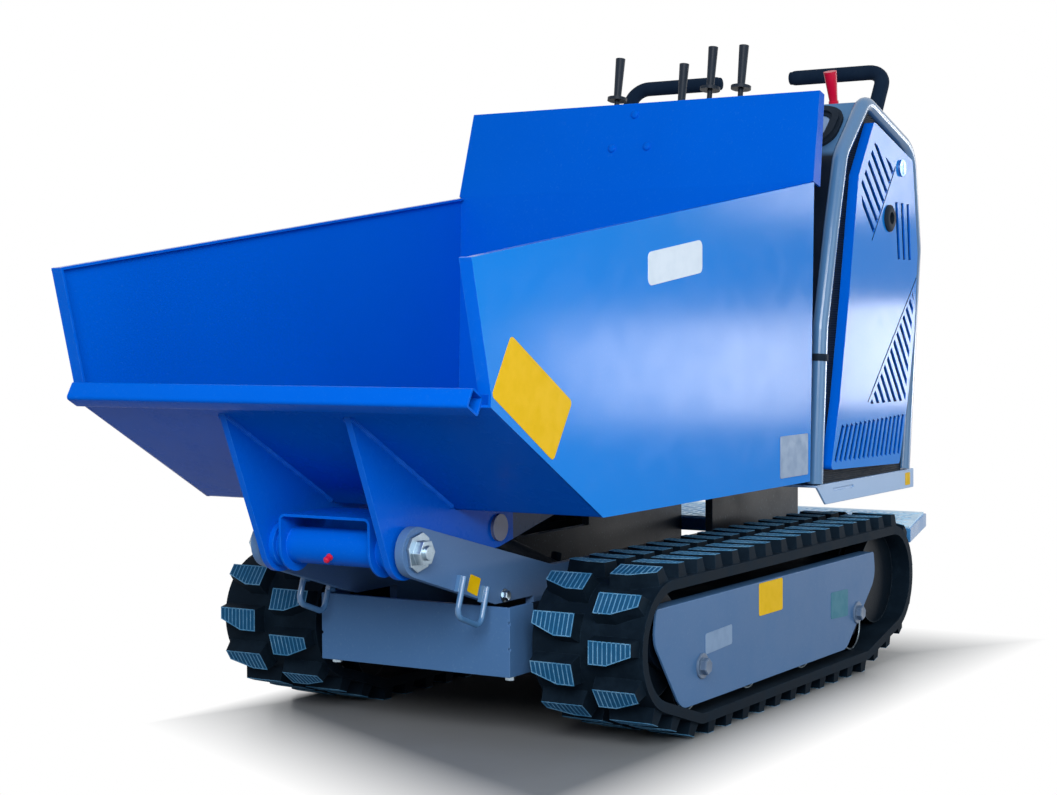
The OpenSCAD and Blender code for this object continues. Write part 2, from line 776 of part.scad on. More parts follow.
// The hood's side line moved inwards, with both its legs drawn out through the deck's top
function inner_line(inset) =
    let (n = len(hood_line), longer = 2 * inset)
    [for (i = [0:n - 1])
        sheet_offset(hood_line, i, inset)
            + (i == 0 ? unit(hood_line[0] - hood_line[1]) * longer
            : i == n - 1 ? unit(hood_line[n - 1] - hood_line[n - 2]) * longer
            : [0, 0])];
function inner_radii(inset) =
    [for (i = [0:len(hood_line) - 1])
        i == 0 || i == len(hood_line) - 1 ? 0 : hoop_radii[i] - inset];
module above_deck(gap) {
    translate([-hood_top_z, deck_z + gap]) square([hood_top_z, hood_top_z]);
}
// Flat seal between the hoop and the side panel's edge
module panel_seal() {
    along_y(panel_foot_y - seal_w - seat_gap, seal_w) intersection() {
        above_deck(seat_gap);
        difference() {
            polygon(rounded(inner_line(hoop_r + seal_gap), inner_radii(hoop_r + seal_gap)));
            panel_outline(seal_lap);
        }
    }
}
module panel_seals() {
    color(rubber_black) both_sides() panel_seal();
}

// Round lock and cable grommet in each side panel
module at_panel(share) {
    place = on_hood(share);
    translate([place[0], panel_face_y, place[1]]) rotate([-90, 0, 0]) children();
}
module panel_lock() {
    at_panel(lock_share) difference() {
        union() {
            cylinder(h = lock_t, r = lock_r);
            translate([0, 0, -lock_body_l]) cylinder(h = lock_body_l + lock_t, r = lock_body_r);
        }
        translate([-lock_slot_w / 2, -lock_body_r, lock_t / 2])
            cube([lock_slot_w, 2 * lock_body_r, lock_t]);
    }
}
module panel_locks() {
    color(bright_steel) both_sides() panel_lock();
}
module panel_grommet() {
    groove_r = grommet_r - grommet_lip;
    at_panel(grommet_share) rotate_extrude()
        polygon([[grommet_hole_r, -hood_t - grommet_t / 2], [groove_r, -hood_t - grommet_t / 2],
                 [groove_r, 0], [grommet_r, 0], [grommet_r, grommet_t / 2],
                 [groove_r, grommet_t], [grommet_hole_r, grommet_t]]);
}
module panel_grommets() {
    color(rubber_black) both_sides() panel_grommet();
}

// Sheets that span the hood between its hoops
hood_inner_y = hoop_y - hoop_r - seat_gap;
module hood_sheet(line) {
    along_y(-hood_inner_y, 2 * hood_inner_y) polygon(bent_sheet(line, hood_t));
}
module hood_front_panel() {
    color(dark_steel) hood_sheet(eased([for (i = [0:4]) hood_line[i]], hoop_bend_r));
}

// Rounded rubber bezel on the hood's front slope, with a plate inside it
bezel_side_gap = 8;
bezel_low_share = 0.1;
bezel_h = 116;
bezel_w = 24;
bezel_t = 12;
bezel_r = 44;
dash_t = 3;
module on_front_slope() {
    slope = hood_line[4] - hood_line[3];
    place = hood_line[3] + slope * bezel_low_share;
    translate([place[0], 0, place[1]]) rotate([0, -atan2(slope[1], slope[0]), 0])
        rotate([180, 0, 0]) translate([0, 0, seat_gap]) children();
}
module bezel_field(inset) {
    half = hood_inner_y - bezel_side_gap - inset;
    corners = [[inset, -half], [bezel_h - inset, -half], [bezel_h - inset, half], [inset, half]];
    polygon(rounded(corners, all_radii(corners, bezel_r - inset)));
}
module hood_bezel() {
    color(rubber_black) on_front_slope() {
        linear_extrude(bezel_t / 2) difference() {
            bezel_field(0);
            bezel_field(bezel_w);
        }
        linear_extrude(bezel_t) difference() {
            bezel_field(bezel_w / 4);
            bezel_field(bezel_w - bezel_w / 4);
        }
    }
}
module dash_plate() {
    color(steel_grey) on_front_slope() linear_extrude(dash_t) bezel_field(bezel_w + seat_gap);
}

// Rear sheet of the hood and the sloping console above it
module hood_rear_panel() {
    color(skip_blue) hood_sheet([hood_line[5], hood_line[6], hood_line[7]]);
}
console_gap = 1;
module console() {
    a = hood_line[4];
    b = hood_line[5];
    step = unit(b - a) * (hood_t + console_gap);
    color(plastic_black) hood_sheet([a + step, b - step]);
}

// Engine, pump and tanks as one block under the hood
engine_rear_gap = 105;
engine_size = [280, 340, 300];
module engine_block() {
    color(dark_steel) translate([deck_rear_x + engine_rear_gap, -engine_size[1] / 2, deck_z])
        cube(engine_size);
}

// Handlebars: each leg leans forward from its grip down to a flange on the console
handlebar_x = -680;
handlebar_inner_y = 76;
handlebar_bend_r = 32;
handlebar_lean = 32;
handlebar_flange_r = 18;
handlebar_flange_t = 6;
console_slope = atan2(hood_line[4][1] - hood_line[5][1], hood_line[4][0] - hood_line[5][0]);
// Distance from the grip's axis along a leg to the top of the console
function leg_len() =
    let (
        leg = [sin(handlebar_lean), -cos(handlebar_lean)],
        along = hood_line[5] - hood_line[4],
        to_console = hood_line[4] - [handlebar_x, handlebar_z]
    )
    (to_console[0] * along[1] - to_console[1] * along[0]) / (leg[0] * along[1] - leg[1] * along[0]);
module handlebar() {
    foot = leg_len() - handlebar_flange_t;
    grip = eased([[handlebar_inner_y, 0], [handlebar_y, 0], [handlebar_y, -foot]], handlebar_bend_r);
    translate([handlebar_x, 0, handlebar_z]) rotate([0, -handlebar_lean, 0]) {
        rotate([0, 0, 90]) tube_along(grip, handlebar_d / 2, 0);
        translate([0, handlebar_y, -leg_len()])
            rotate([0, handlebar_lean - console_slope, 0])
            translate([0, 0, seat_gap])
            cylinder(h = 2 * handlebar_flange_t, r = handlebar_flange_r);
    }
}
module handlebars() {
    color(plastic_black) both_sides() handlebar();
}

// Levers: tapered grips on leaning stems, each with a disc under its grip and a boot on the console
lever_x = -461;
lever_lean = 10;
lever_shares = [[-0.55, 0.048], [-0.158, 0.18], [0.006, 0], [0.185, 0.012]];
lever_tip_r = 9.3;
lever_root_r = 7;
lever_grip_l = 84;
lever_disc_r = 19;
lever_disc_t = 6;
lever_stem_r = 5;
boot_r = 17;
boot_h = 26;
boot_flange_r = 21;
boot_flange_t = 4;
function console_z(x) = at_x(hood_line[4], hood_line[5], x)[1];
// Lever of upright height h at x and y: stem, grip and, at the grip's foot, a disc
module lever(x, y, h, lean, grip_l, root_r, tip_r, disc_r) {
    len = h / cos(lean);
    translate([x, y, console_z(x)]) {
        rotate([0, -lean, 0]) {
            translate([0, 0, boot_flange_t]) cylinder(h = len - boot_flange_t, r = lever_stem_r);
            translate([0, 0, len - grip_l]) cylinder(h = grip_l, r1 = root_r, r2 = tip_r);
            translate([0, 0, len - grip_l]) cylinder(h = lever_disc_t, r = disc_r);
        }
        rotate([0, -console_slope, 0]) translate([0, 0, seat_gap]) {
            cylinder(h = boot_flange_t, r = boot_flange_r);
            cylinder(h = boot_h, r1 = boot_r, r2 = lever_root_r);
        }
    }
}
module control_levers() {
    color(plastic_black) for (share = lever_shares)
        lever(lever_x, share[0] * hood_w / 2, (1 - share[1]) * lever_h, lever_lean,
              lever_grip_l, lever_root_r, lever_tip_r, lever_disc_r);
}
throttle_x = -474;
throttle_y = 257;
throttle_h = 92;
throttle_lean = -17;
throttle_grip_l = 60;
throttle_tip_r = 12;
throttle_collar_r = 9;
module throttle_lever() {
    color(lever_red) lever(throttle_x, throttle_y, throttle_h, throttle_lean,
                           throttle_grip_l, lever_root_r, throttle_tip_r, throttle_collar_r);
}

// Rear platform: folded frame and tread plate
platform_t = 4;
tread_t = 3;
platform_front_x = frame_rear_x - seat_gap;
module platform_outline(inset) {
    polygon([[platform_front_x - inset, platform_front_y - inset],
             [platform_rear_x + inset, platform_rear_y - inset],
             [platform_rear_x + inset, -platform_rear_y + inset],
             [platform_front_x - inset, -platform_front_y + inset]]);
}
module rear_platform() {
    color(skip_blue) difference() {
        translate([0, 0, platform_z - tread_t - platform_h]) linear_extrude(platform_h) platform_outline(0);
        translate([0, 0, platform_z - tread_t - platform_h - overrun])
            linear_extrude(platform_h - platform_t + overrun) platform_outline(platform_t);
    }
}
module platform_tread() {
    color(bright_steel) translate([0, 0, platform_z - tread_t]) linear_extrude(tread_t)
        platform_outline(platform_t);
}

// Tipping cylinder: base pin between the arms, barrel, and rod up to the skip's pin
base_pin = [base_pin_x, base_pin_z];
rod_pin = [rod_pin_x, rod_pin_z];
cyl_line = rod_pin - base_pin;
cyl_len = norm(cyl_line);
cyl_angle = atan2(cyl_line[1], cyl_line[0]);
cyl_eye_r = 22;
cyl_eye_w = 40;
module cylinder_base_pin() {
    color(bright_steel) translate([base_pin_x, 0, base_pin_z]) rotate([90, 0, 0])
        cylinder(h = 2 * arm_y, r = cyl_pin_r, center = true);
}
module on_cylinder() {
    translate([base_pin_x, 0, base_pin_z]) rotate([0, -cyl_angle, 0]) children();
}
cyl_wall = 6;
gland_len = 24;
gland_lip = 3;
port_r = 9;
port_h = 14;
port_share = 0.16;
module cylinder_barrel() {
    color(dark_steel) on_cylinder() difference() {
        union() {
            rotate([0, 90, 0]) cylinder(h = barrel_len, r = barrel_r);
            translate([barrel_len - gland_len, 0, 0]) rotate([0, 90, 0])
                cylinder(h = gland_len, r = barrel_r + gland_lip);
            translate([barrel_len * port_share, 0, 0]) cylinder(h = barrel_r + port_h, r = port_r);
            translate([barrel_len - 2 * gland_len, 0, 0]) cylinder(h = barrel_r + port_h, r = port_r);
            rotate([90, 0, 0]) cylinder(h = cyl_eye_w, r = cyl_eye_r, center = true);
        }
        rotate([90, 0, 0]) cylinder(h = 2 * barrel_r + 2 * overrun, r = cyl_pin_r + pin_gap, center = true);
        translate([cyl_eye_r + cyl_wall, 0, 0]) rotate([0, 90, 0])
            cylinder(h = barrel_len - cyl_eye_r - cyl_wall - gland_len, r = barrel_r - cyl_wall);
        rotate([0, 90, 0]) cylinder(h = barrel_len + overrun, r = rod_r + pin_gap);
    }
}
module cylinder_rod() {
    rod_start = cyl_eye_r + 2 * cyl_wall;
    color(bright_steel) on_cylinder() difference() {
        union() {
            translate([rod_start, 0, 0]) rotate([0, 90, 0]) cylinder(h = cyl_len - rod_start, r = rod_r);
            translate([cyl_len, 0, 0]) rotate([90, 0, 0])
                cylinder(h = cyl_eye_w, r = cyl_eye_r, center = true);
        }
        translate([cyl_len, 0, 0]) rotate([90, 0, 0])
            cylinder(h = cyl_eye_w + 2 * overrun, r = cyl_pin_r + pin_gap, center = true);
    }
}

// Skip: floor with front slope, two sides, back, lip tube
skip_y = skip_w / 2;
slope_dir = polar(1, skip_slope);
slope_up = polar(1, skip_slope + 90);
floor_rear = [skip_rear_x, skip_floor_z];
floor_bend = [skip_bend_x, skip_floor_z];
floor_lip = floor_bend + slope_dir * skip_slope_len;
rear_top = [skip_rear_x - skip_rear_lean, skip_rear_top_z];
front_top = [skip_front_x, skip_front_z];
lip_centre = floor_lip + slope_dir * (lip_tube_w / 2 + seat_gap);
front_low = floor_lip + slope_up * (lip_tube_w / 2 + seat_gap) + slope_dir * lip_tube_w / 4;
front_flange_w = 19;
top_hem_w = 12;
floor_bend_r = 25;

module skip_floor() {
    line = [floor_rear + [skip_t + seat_gap, 0], floor_bend, floor_lip];
    color(skip_blue) along_y(-skip_y + skip_t, skip_w - 2 * skip_t)
        polygon(bent_sheet(eased(line, floor_bend_r), skip_t));
}

module skip_side() {
    along_y(skip_y - skip_t, skip_t)
        polygon([floor_rear, floor_bend, floor_lip, front_low, front_top, rear_top]);
    along_y(skip_y - front_flange_w, front_flange_w)
        polygon(bent_sheet([front_low, front_top], skip_t));
    along_y(skip_y - top_hem_w, top_hem_w)
        polygon(bent_sheet([front_top, at_x(front_top, rear_top, rear_top[0] + 2 * skip_t)], skip_t));
}
module skip_side_left() {
    color(skip_blue) skip_side();
}
module skip_side_right() {
    color(skip_blue) mirror([0, 1, 0]) skip_side();
}

// Back of the skip: a wall up to the sides and a leaning plate above it with a flange at each side
back_top_inset = 6;
back_top_y = skip_y - back_top_inset;
back_flange_low_w = 26;
back_flange_top_w = 16;
back_fold = 12;
back_up = polar(1, 90 + back_plate_lean);
module skip_back() {
    low = floor_rear;
    inner_w = skip_w - 2 * skip_t - 2 * seat_gap;
    color(skip_blue) {
        along_y(-inner_w / 2, inner_w)
            polygon(bent_sheet([rear_top + back_up * back_fold, rear_top, low], skip_t));
        translate([rear_top[0], 0, rear_top[1]]) rotate([0, -back_plate_lean, 0]) {
            rotate([90, 0, 90]) linear_extrude(skip_t)
                polygon([[-skip_y, seat_gap], [skip_y, seat_gap],
                         [back_top_y, back_plate_h], [-back_top_y, back_plate_h]]);
            both_sides() translate([0, skip_y, 0])
                rotate([atan((skip_y - back_top_y) / back_plate_h), 0, 0])
                along_y(-skip_t, skip_t)
                    polygon([[0, seat_gap], [0, back_plate_h], [-back_flange_top_w, back_plate_h],
                             [-back_flange_low_w, seat_gap]]);
        }
    }
}

// Square tube along the front lip
lip_wall = 3;
lip_corner_r = 5;
lip_inset = 15;
lip_half_len = skip_y - lip_inset;
module lip_tube() {
    half = lip_tube_w / 2;
    square_corners = [[-half, -half], [half, -half], [half, half], [-half, half]];
    color(skip_blue)
        translate([lip_centre[0], 0, lip_centre[1]]) rotate([0, -skip_slope, 0])
        along_y(-lip_half_len, 2 * lip_half_len) difference() {
            polygon(rounded(square_corners, [for (c = square_corners) lip_corner_r]));
            square(lip_tube_w - 2 * lip_wall, center = true);
        }
}

// Hinge gussets under the slope: a rounded foot round the hinge pin and a boss round the rod's pin
foot_r = 40;
pin_boss_r = 29;
gusset_tail_x = 150;
gusset_lip_gap = 36;
module gusset_outline() {
    pivot = [pivot_x, pivot_z];
    front = floor_lip - slope_dir * gusset_lip_gap - slope_up * seat_gap;
    bend = [skip_bend_x, skip_floor_z - seat_gap];
    tail = [gusset_tail_x, skip_floor_z - seat_gap];
    reach = rod_pin - pivot;
    down = atan2(reach[1], reach[0]) + acos((foot_r - pin_boss_r) / norm(reach));
    polygon(concat(
        [front, bend, tail],
        arc(rod_pin, pin_boss_r, touch(tail, rod_pin, pin_boss_r, 1), down),
        arc(pivot, foot_r, down, touch(front, pivot, foot_r, -1))));
}
module hinge_gussets() {
    color(skip_blue) both_sides() along_y(gusset_y - gusset_t, gusset_t) difference() {
        gusset_outline();
        translate([pivot_x, pivot_z]) circle(pivot_pin_r + pin_gap);
        translate(rod_pin) circle(cyl_pin_r + pin_gap);
    }
}

// Hinge tube between the gussets, held in an inverted U-bracket under the floor
bracket_inset = 23;
bracket_half_w = gusset_y - gusset_t - bracket_inset;
bracket_t = 4;
bracket_foot_r = 38;
bracket_len = 118;
bracket_bend_r = 10;
bracket_top_z = skip_floor_z - seat_gap;
collar_r = 33;
collar_w = 9;
module bracket_side() {
    pivot = [pivot_x, pivot_z];
    front = [pivot_x + bracket_foot_r, bracket_top_z];
    rear = front - [bracket_len, 0];
    polygon(concat([front, rear], arc(pivot, bracket_foot_r, touch(rear, pivot, bracket_foot_r, 1), 360)));
}
module bracket_section() {
    low_z = pivot_z - bracket_foot_r;
    corners = [[bracket_half_w, low_z], [bracket_half_w, bracket_top_z],
               [-bracket_half_w, bracket_top_z], [-bracket_half_w, low_z]];
    polygon(bent_sheet(eased(corners, bracket_bend_r), bracket_t));
}
module hinge_bracket() {
    tube_half = gusset_y - gusset_t - seat_gap;
    color(skip_blue) difference() {
        union() {
            intersection() {
                along_y(-bracket_half_w, 2 * bracket_half_w) bracket_side();
                translate([pivot_x + bracket_foot_r - bracket_len, 0, 0])
                    rotate([90, 0, 90]) linear_extrude(bracket_len) bracket_section();
            }
            translate([pivot_x, 0, pivot_z]) rotate([90, 0, 0])
                cylinder(h = 2 * tube_half, r = hinge_tube_r, center = true);
            both_sides() translate([pivot_x, tube_half - collar_w, pivot_z]) rotate([-90, 0, 0])
                cylinder(h = collar_w, r = collar_r);
        }
        translate([pivot_x, 0, pivot_z]) rotate([90, 0, 0])
            cylinder(h = 2 * (tube_half + overrun), r = pivot_pin_r + pin_gap, center = true);
    }
}

// Rod's pin, cut back beside the rod's eye, with a round head outside each gusset
pin_head_l = 5;
pin_head_r = 20;
module cylinder_pins() {
    inner_y = cyl_eye_w / 2 + cyl_wall;
    color(bright_steel) both_sides()
        translate([rod_pin_x, inner_y, rod_pin_z]) rotate([-90, 0, 0]) {
            cylinder(h = gusset_y - inner_y, r = cyl_pin_r);
            translate([0, 0, gusset_y - inner_y]) cylinder(h = pin_head_l, r = pin_head_r);
        }
}

main_frame();
frame_arms();
front_cover();
tie_down_rings();
pivot_pin();
track_left();
track_right();
track_frames();
track_covers();
sprockets();
idlers();
rollers();
drive_motors();
engine_deck();
hood_frame_left();
hood_frame_right();
side_panel_left();
side_panel_right();
panel_seals();
panel_locks();
panel_grommets();
hood_front_panel();
hood_bezel();
dash_plate();
hood_rear_panel();
console();
engine_block();
handlebars();
control_levers();
throttle_lever();
rear_platform();
platform_tread();
cylinder_base_pin();
skip_floor();
skip_side_left();
skip_side_right();
skip_back();
lip_tube();
hinge_gussets();
hinge_bracket();
cylinder_pins();
cylinder_barrel();
cylinder_rod();
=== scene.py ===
"""Looks of the tracked mini dumper: finishes, small fittings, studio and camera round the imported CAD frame.

Metres, in the part's own frame: +X forward, +Y to the left, +Z up, ground at Z = 0.
"""

import json
import math

import bmesh
import bpy
from mathutils import Matrix, Vector


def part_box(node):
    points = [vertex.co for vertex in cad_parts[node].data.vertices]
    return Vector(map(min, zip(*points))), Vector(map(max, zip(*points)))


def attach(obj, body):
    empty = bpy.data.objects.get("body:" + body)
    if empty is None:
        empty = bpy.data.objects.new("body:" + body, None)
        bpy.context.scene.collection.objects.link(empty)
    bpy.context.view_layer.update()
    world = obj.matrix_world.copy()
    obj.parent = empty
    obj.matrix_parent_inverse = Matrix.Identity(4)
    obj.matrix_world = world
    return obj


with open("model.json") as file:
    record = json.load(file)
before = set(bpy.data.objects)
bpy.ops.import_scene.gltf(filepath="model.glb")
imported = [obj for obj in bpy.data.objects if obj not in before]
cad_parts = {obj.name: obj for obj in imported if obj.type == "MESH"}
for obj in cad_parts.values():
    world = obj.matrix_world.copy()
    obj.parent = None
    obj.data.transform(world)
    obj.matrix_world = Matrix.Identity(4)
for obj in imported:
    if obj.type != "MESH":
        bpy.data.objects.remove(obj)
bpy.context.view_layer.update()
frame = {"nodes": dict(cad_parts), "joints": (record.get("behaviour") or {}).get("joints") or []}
NODES = frame["nodes"]

# Left faces that carry labels and bolts
SKIP_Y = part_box("skip_side_left")[1].y
COVER_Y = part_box("track_covers")[1].y
ARM_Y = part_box("frame_arms")[1].y
DECK_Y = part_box("engine_deck")[1].y

# Skip: its hinge, and the fold between its floor and its front slope
PIVOT = Vector(next(joint["pos_m"] for joint in frame["joints"] if joint["name"] == "skip_tip"))
HINGE_TUBE_R = 0.026
SKIP_SLOPE = math.radians(29.7)
SKIP_BEND = Vector((0.560, 0.0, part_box("skip_floor")[0].z))


# Meshes

SHARP_ANGLE = math.radians(35)


def new_object(name, bm, material, body, smooth=True):
    """Makes a mesh object from bm that rides on a body and takes its finish from a slot."""
    mesh = bpy.data.meshes.new(name)
    bmesh.ops.recalc_face_normals(bm, faces=bm.faces)
    bm.to_mesh(mesh)
    bm.free()
    if smooth:
        mesh.shade_smooth()
        mesh.set_sharp_from_angle(angle=SHARP_ANGLE)
    piece = bpy.data.objects.new(name, mesh)
    bpy.context.scene.collection.objects.link(piece)
    mesh.materials.append(material)
    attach(piece, body)


def frame_at(origin, normal, up=(0, 0, 1)):
    """Matrix whose Z is the normal and whose Y is as near to up as it can be."""
    z = Vector(normal).normalized()
    x = Vector(up).cross(z)
    if x.length < 1e-6:
        x = Vector((1, 0, 0)).cross(z)
    x.normalize()
    y = z.cross(x)
    place = Matrix((x, y, z)).transposed().to_4x4()
    place.translation = Vector(origin)
    return place


def skin_rings(bm, rings):
    """Closed skin over rings with the same number of points, capped at both ends."""
    for low, high in zip(rings, rings[1:]):
        for k in range(len(low)):
            j = (k + 1) % len(low)
            bm.faces.new((low[k], low[j], high[j], high[k]))
    bm.faces.new(rings[0][::-1])
    bm.faces.new(rings[-1])


def add_prism(bm, corners, place, low_h, high_h):
    """Upright prism on the place's XY plane, between two heights."""
    skin_rings(bm, [[bm.verts.new(place @ Vector((x, y, h))) for x, y in corners] for h in (low_h, high_h)])


def add_lathe(bm, profile, place, sides=24, turn=0.0):
    """Solid of revolution about the place's Z from (radius, height) points; a radius of 0 closes an end."""
    rings = []
    angles = [turn + math.tau * k / sides for k in range(sides)]
    for radius, height in profile:
        points = [(radius * math.cos(a), radius * math.sin(a), height) for a in angles]
        if radius == 0:
            points = [(0, 0, height)]
        rings.append([bm.verts.new(place @ Vector(p)) for p in points])
    for low, high in zip(rings, rings[1:]):
        for k in range(sides):
            j = (k + 1) % sides
            corners = [low[k % len(low)], low[j % len(low)], high[j % len(high)], high[k % len(high)]]
            unique = list(dict.fromkeys(corners))
            if len(unique) > 2:
                bm.faces.new(unique)
    for ring, flip in ((rings[0], True), (rings[-1], False)):
        if len(ring) > 1:
            bm.faces.new(ring[::-1] if flip else ring)


def add_hex_bolt(bm, place, across, head, washer_r, washer_t):
    """Hex head with a chamfered top and a dished middle, on a washer."""
    bore_r, rim_r, rim_z, turn = washer_r * 0.55, washer_r * 0.94, washer_t * 0.7, 0.3
    add_lathe(bm, [(bore_r, 0), (washer_r, 0), (washer_r, rim_z), (rim_r, washer_t), (bore_r, washer_t)],
              place)
    corner_r = across / math.sqrt(3)
    top_r, dish_r = corner_r * 0.86, corner_r * 0.5
    side_z, top_z, dish_z, middle_z = (washer_t + head * share for share in (0.86, 1.0, 0.95, 0.93))
    add_lathe(bm, [(corner_r, washer_t), (corner_r, side_z), (top_r, top_z), (dish_r, dish_z), (0, middle_z)],
              place, sides=6, turn=turn)


def add_dome(bm, place, radius, height, sides=20):
    """Round rivet head with a short upright rim."""
    steps, rim_share = 5, 0.25
    angles = [math.pi / 2 * k / steps for k in range(steps)]
    dome = [(radius * math.cos(a), height * (rim_share + (1 - rim_share) * math.sin(a))) for a in angles]
    add_lathe(bm, [(radius, 0)] + dome + [(0, height)], place, sides)


def add_sweep(bm, points, radii, sides):
    """Round tube along 3-D points, with a radius for each point."""
    rings = []
    side = (points[1] - points[0]).orthogonal().normalized()
    angles = [math.tau * k / sides for k in range(sides)]
    for i, (point, radius) in enumerate(zip(points, radii)):
        ahead = (points[min(i + 1, len(points) - 1)] - points[max(i - 1, 0)]).normalized()
        side = (side - ahead * side.dot(ahead)).normalized()
        other = ahead.cross(side)
        ring = [point + (side * math.cos(a) + other * math.sin(a)) * radius for a in angles]
        rings.append([bm.verts.new(p) for p in ring])
    skin_rings(bm, rings)


def add_weld(bm, start, end, lean_a, lean_b, size):
    """Rippled fillet weld from start to end, in the corner between the directions lean_a and lean_b."""
    ripple_pitch, ripple, wander, wander_step = 0.0032, 0.10, 0.06, 0.37
    end_share, root_share, roundness, arc_steps = 0.45, 0.1, 0.8, 4
    a, b = Vector(lean_a).normalized(), Vector(lean_b).normalized()
    arc = [math.pi / 2 * k / arc_steps for k in range(arc_steps + 1)]
    count = max(int((end - start).length / ripple_pitch) * 2, 4)
    rings = []
    for i in range(count + 1):
        swell = size * (1 + ripple * math.cos(math.pi * i) + wander * math.sin(i * wander_step))
        if i in (0, count):
            swell *= end_share
        centre = start.lerp(end, i / count)
        ring = [centre + a * swell * math.cos(t) ** roundness + b * swell * math.sin(t) ** roundness
                for t in arc]
        ring.append(centre - (a + b) * size * root_share)
        rings.append([bm.verts.new(p) for p in ring])
    skin_rings(bm, rings)


def rounded_corners(corners, radius, steps=5):
    """2-D outline with every corner replaced by an arc."""
    points = []
    n = len(corners)
    for i in range(n):
        b = corners[i]
        u = (corners[i - 1] - b).normalized()
        v = (corners[(i + 1) % n] - b).normalized()
        half = u.angle(v) / 2
        centre = b + (u + v).normalized() * radius / math.sin(half)
        first = b + u * radius / math.tan(half) - centre
        last = b + v * radius / math.tan(half) - centre
        sweep = first.angle_signed(last)
        for k in range(steps + 1):
            a = -sweep * k / steps
            points.append(centre + Vector((first.x * math.cos(a) - first.y * math.sin(a),
                                           first.x * math.sin(a) + first.y * math.cos(a))))
    return points


def eased(points, radius, steps=8):
    """3-D line with its inner corners replaced by arcs."""
    line = [points[0]]
    for a, b, c in zip(points, points[1:], points[2:]):
        u, v = (a - b).normalized(), (c - b).normalized()
        half = u.angle(v) / 2
        centre = b + (u + v).normalized() * radius / math.sin(half)
        first, last = b + u * radius / math.tan(half) - centre, b + v * radius / math.tan(half) - centre
        axis, sweep = first.cross(last).normalized(), first.angle(last)
        line += [centre + Matrix.Rotation(sweep * k / steps, 3, axis) @ first for k in range(steps + 1)]
    return line + [points[-1]]


def add_plate(bm, outline, place, thickness):
    """Thin plate with a softened rim, on the place's XY plane."""
    rim_share, draw_in = 0.3, 8
    middle = sum(outline, Vector((0, 0))) / len(outline)
    top_scale = 1 - thickness * rim_share * draw_in
    levels = ((0.0, 1.0), (thickness * (1 - rim_share), 1.0), (thickness, top_scale))
    rings = []
    for height, scale in levels:
        flat = [(middle + (p - middle) * scale).to_3d() for p in outline]
        rings.append([bm.verts.new(place @ (p + Vector((0, 0, height)))) for p in flat])
    skin_rings(bm, rings)


# Materials

class Finish:
    """A procedural material; its helpers add nodes and return sockets."""

    def __init__(self, name):
        self.material = bpy.data.materials.new(name)
        self.material.use_nodes = True
        self.tree = self.material.node_tree
        self.shader = self.tree.nodes["Principled BSDF"]
        self.coords = self.tree.nodes.new("ShaderNodeTexCoord").outputs["Object"]

    def feed(self, socket, value):
        """Links a socket to the input, or sets the input to a plain value."""
        if isinstance(value, bpy.types.NodeSocket):
            self.tree.links.new(value, socket)
        else:
            socket.default_value = value

    def set(self, **values):
        for key, value in values.items():
            self.feed(self.shader.inputs[key.replace("_", " ")], value)

    def node(self, kind, props=None, **inputs):
        """New node; an input is given by its name, or by _ and its number."""
        made = self.tree.nodes.new(kind)
        for key, value in (props or {}).items():
            setattr(made, key, value)
        for key, value in inputs.items():
            name = int(key[1:]) if key[0] == "_" and key[1:].isdigit() else key.replace("_", " ")
            self.feed(made.inputs[name], value)
        return made

    def mapped(self, scale):
        return self.node("ShaderNodeMapping", Vector=self.coords, Scale=scale).outputs["Vector"]

    def noise(self, scale, detail=3.0, rough=0.55, stretch=None):
        vector = self.mapped(stretch) if stretch else self.coords
        return self.node("ShaderNodeTexNoise", Vector=vector, Scale=scale, Detail=detail,
                         Roughness=rough).outputs["Fac"]

    def axis(self, name):
        return self.node("ShaderNodeSeparateXYZ", Vector=self.coords).outputs[name]

    def math(self, operation, a, b=0.0):
        return self.node("ShaderNodeMath", {"operation": operation}, _0=a, _1=b).outputs[0]

    def span(self, value, low, high, out_low=0.0, out_high=1.0):
        """Value carried from low..high to out_low..out_high, held at both ends."""
        made = self.node("ShaderNodeMapRange", Value=value, From_Min=low, From_Max=high, To_Min=out_low,
                         To_Max=out_high)
        return made.outputs["Result"]

    def blend(self, share, a, b):
        """Mix of two colours, each a socket or three numbers."""
        made = self.node("ShaderNodeMix", {"data_type": "RGBA"})
        for number, value in ((0, share), (6, a), (7, b)):
            self.feed(made.inputs[number], (*value, 1.0) if isinstance(value, tuple) else value)
        return made.outputs[2]

    def edges(self, radius):
        """1 along convex and concave edges, 0 on flat faces."""
        soft = self.node("ShaderNodeBevel", {"samples": 4}, Radius=radius).outputs["Normal"]
        flat = self.tree.nodes.new("ShaderNodeNewGeometry").outputs["Normal"]
        alike = self.node("ShaderNodeVectorMath", {"operation": "DOT_PRODUCT"}, _0=soft, _1=flat)
        return self.span(alike.outputs["Value"], 0.97, 0.75)

    def outward(self):
        """1 on faces that look out from the part's middle along Y, -1 on faces that look in."""
        normal = self.tree.nodes.new("ShaderNodeNewGeometry").outputs["True Normal"]
        return self.math("MULTIPLY", self.node("ShaderNodeSeparateXYZ", Vector=normal).outputs["Y"],
                         self.math("SIGN", self.axis("Y")))

    def slot_shade(self, reach):
        """Painted shade: 1 in the slots, found by occlusion, and on faces that look inward, else 0."""
        open_share = self.node("ShaderNodeAmbientOcclusion", {"samples": 6, "only_local": True},
                               Distance=reach).outputs["AO"]
        return self.math("MAXIMUM", self.span(open_share, 0.80, 0.50), self.span(self.outward(), -0.2, -0.6))

    def bump(self, height, strength, distance):
        made = self.node("ShaderNodeBump", Height=height, Strength=strength, Distance=distance)
        self.tree.links.new(made.outputs["Normal"], self.shader.inputs["Normal"])


# Colour and reach of the painted shade in the slots and on the inward faces of slotted sheets
SLOT_PAINTED_SHADE, SLOT_REACH = (0.002, 0.004, 0.010), 0.008
RUBBER_TINT = (0.45, 0.70, 1.0, 1.0)


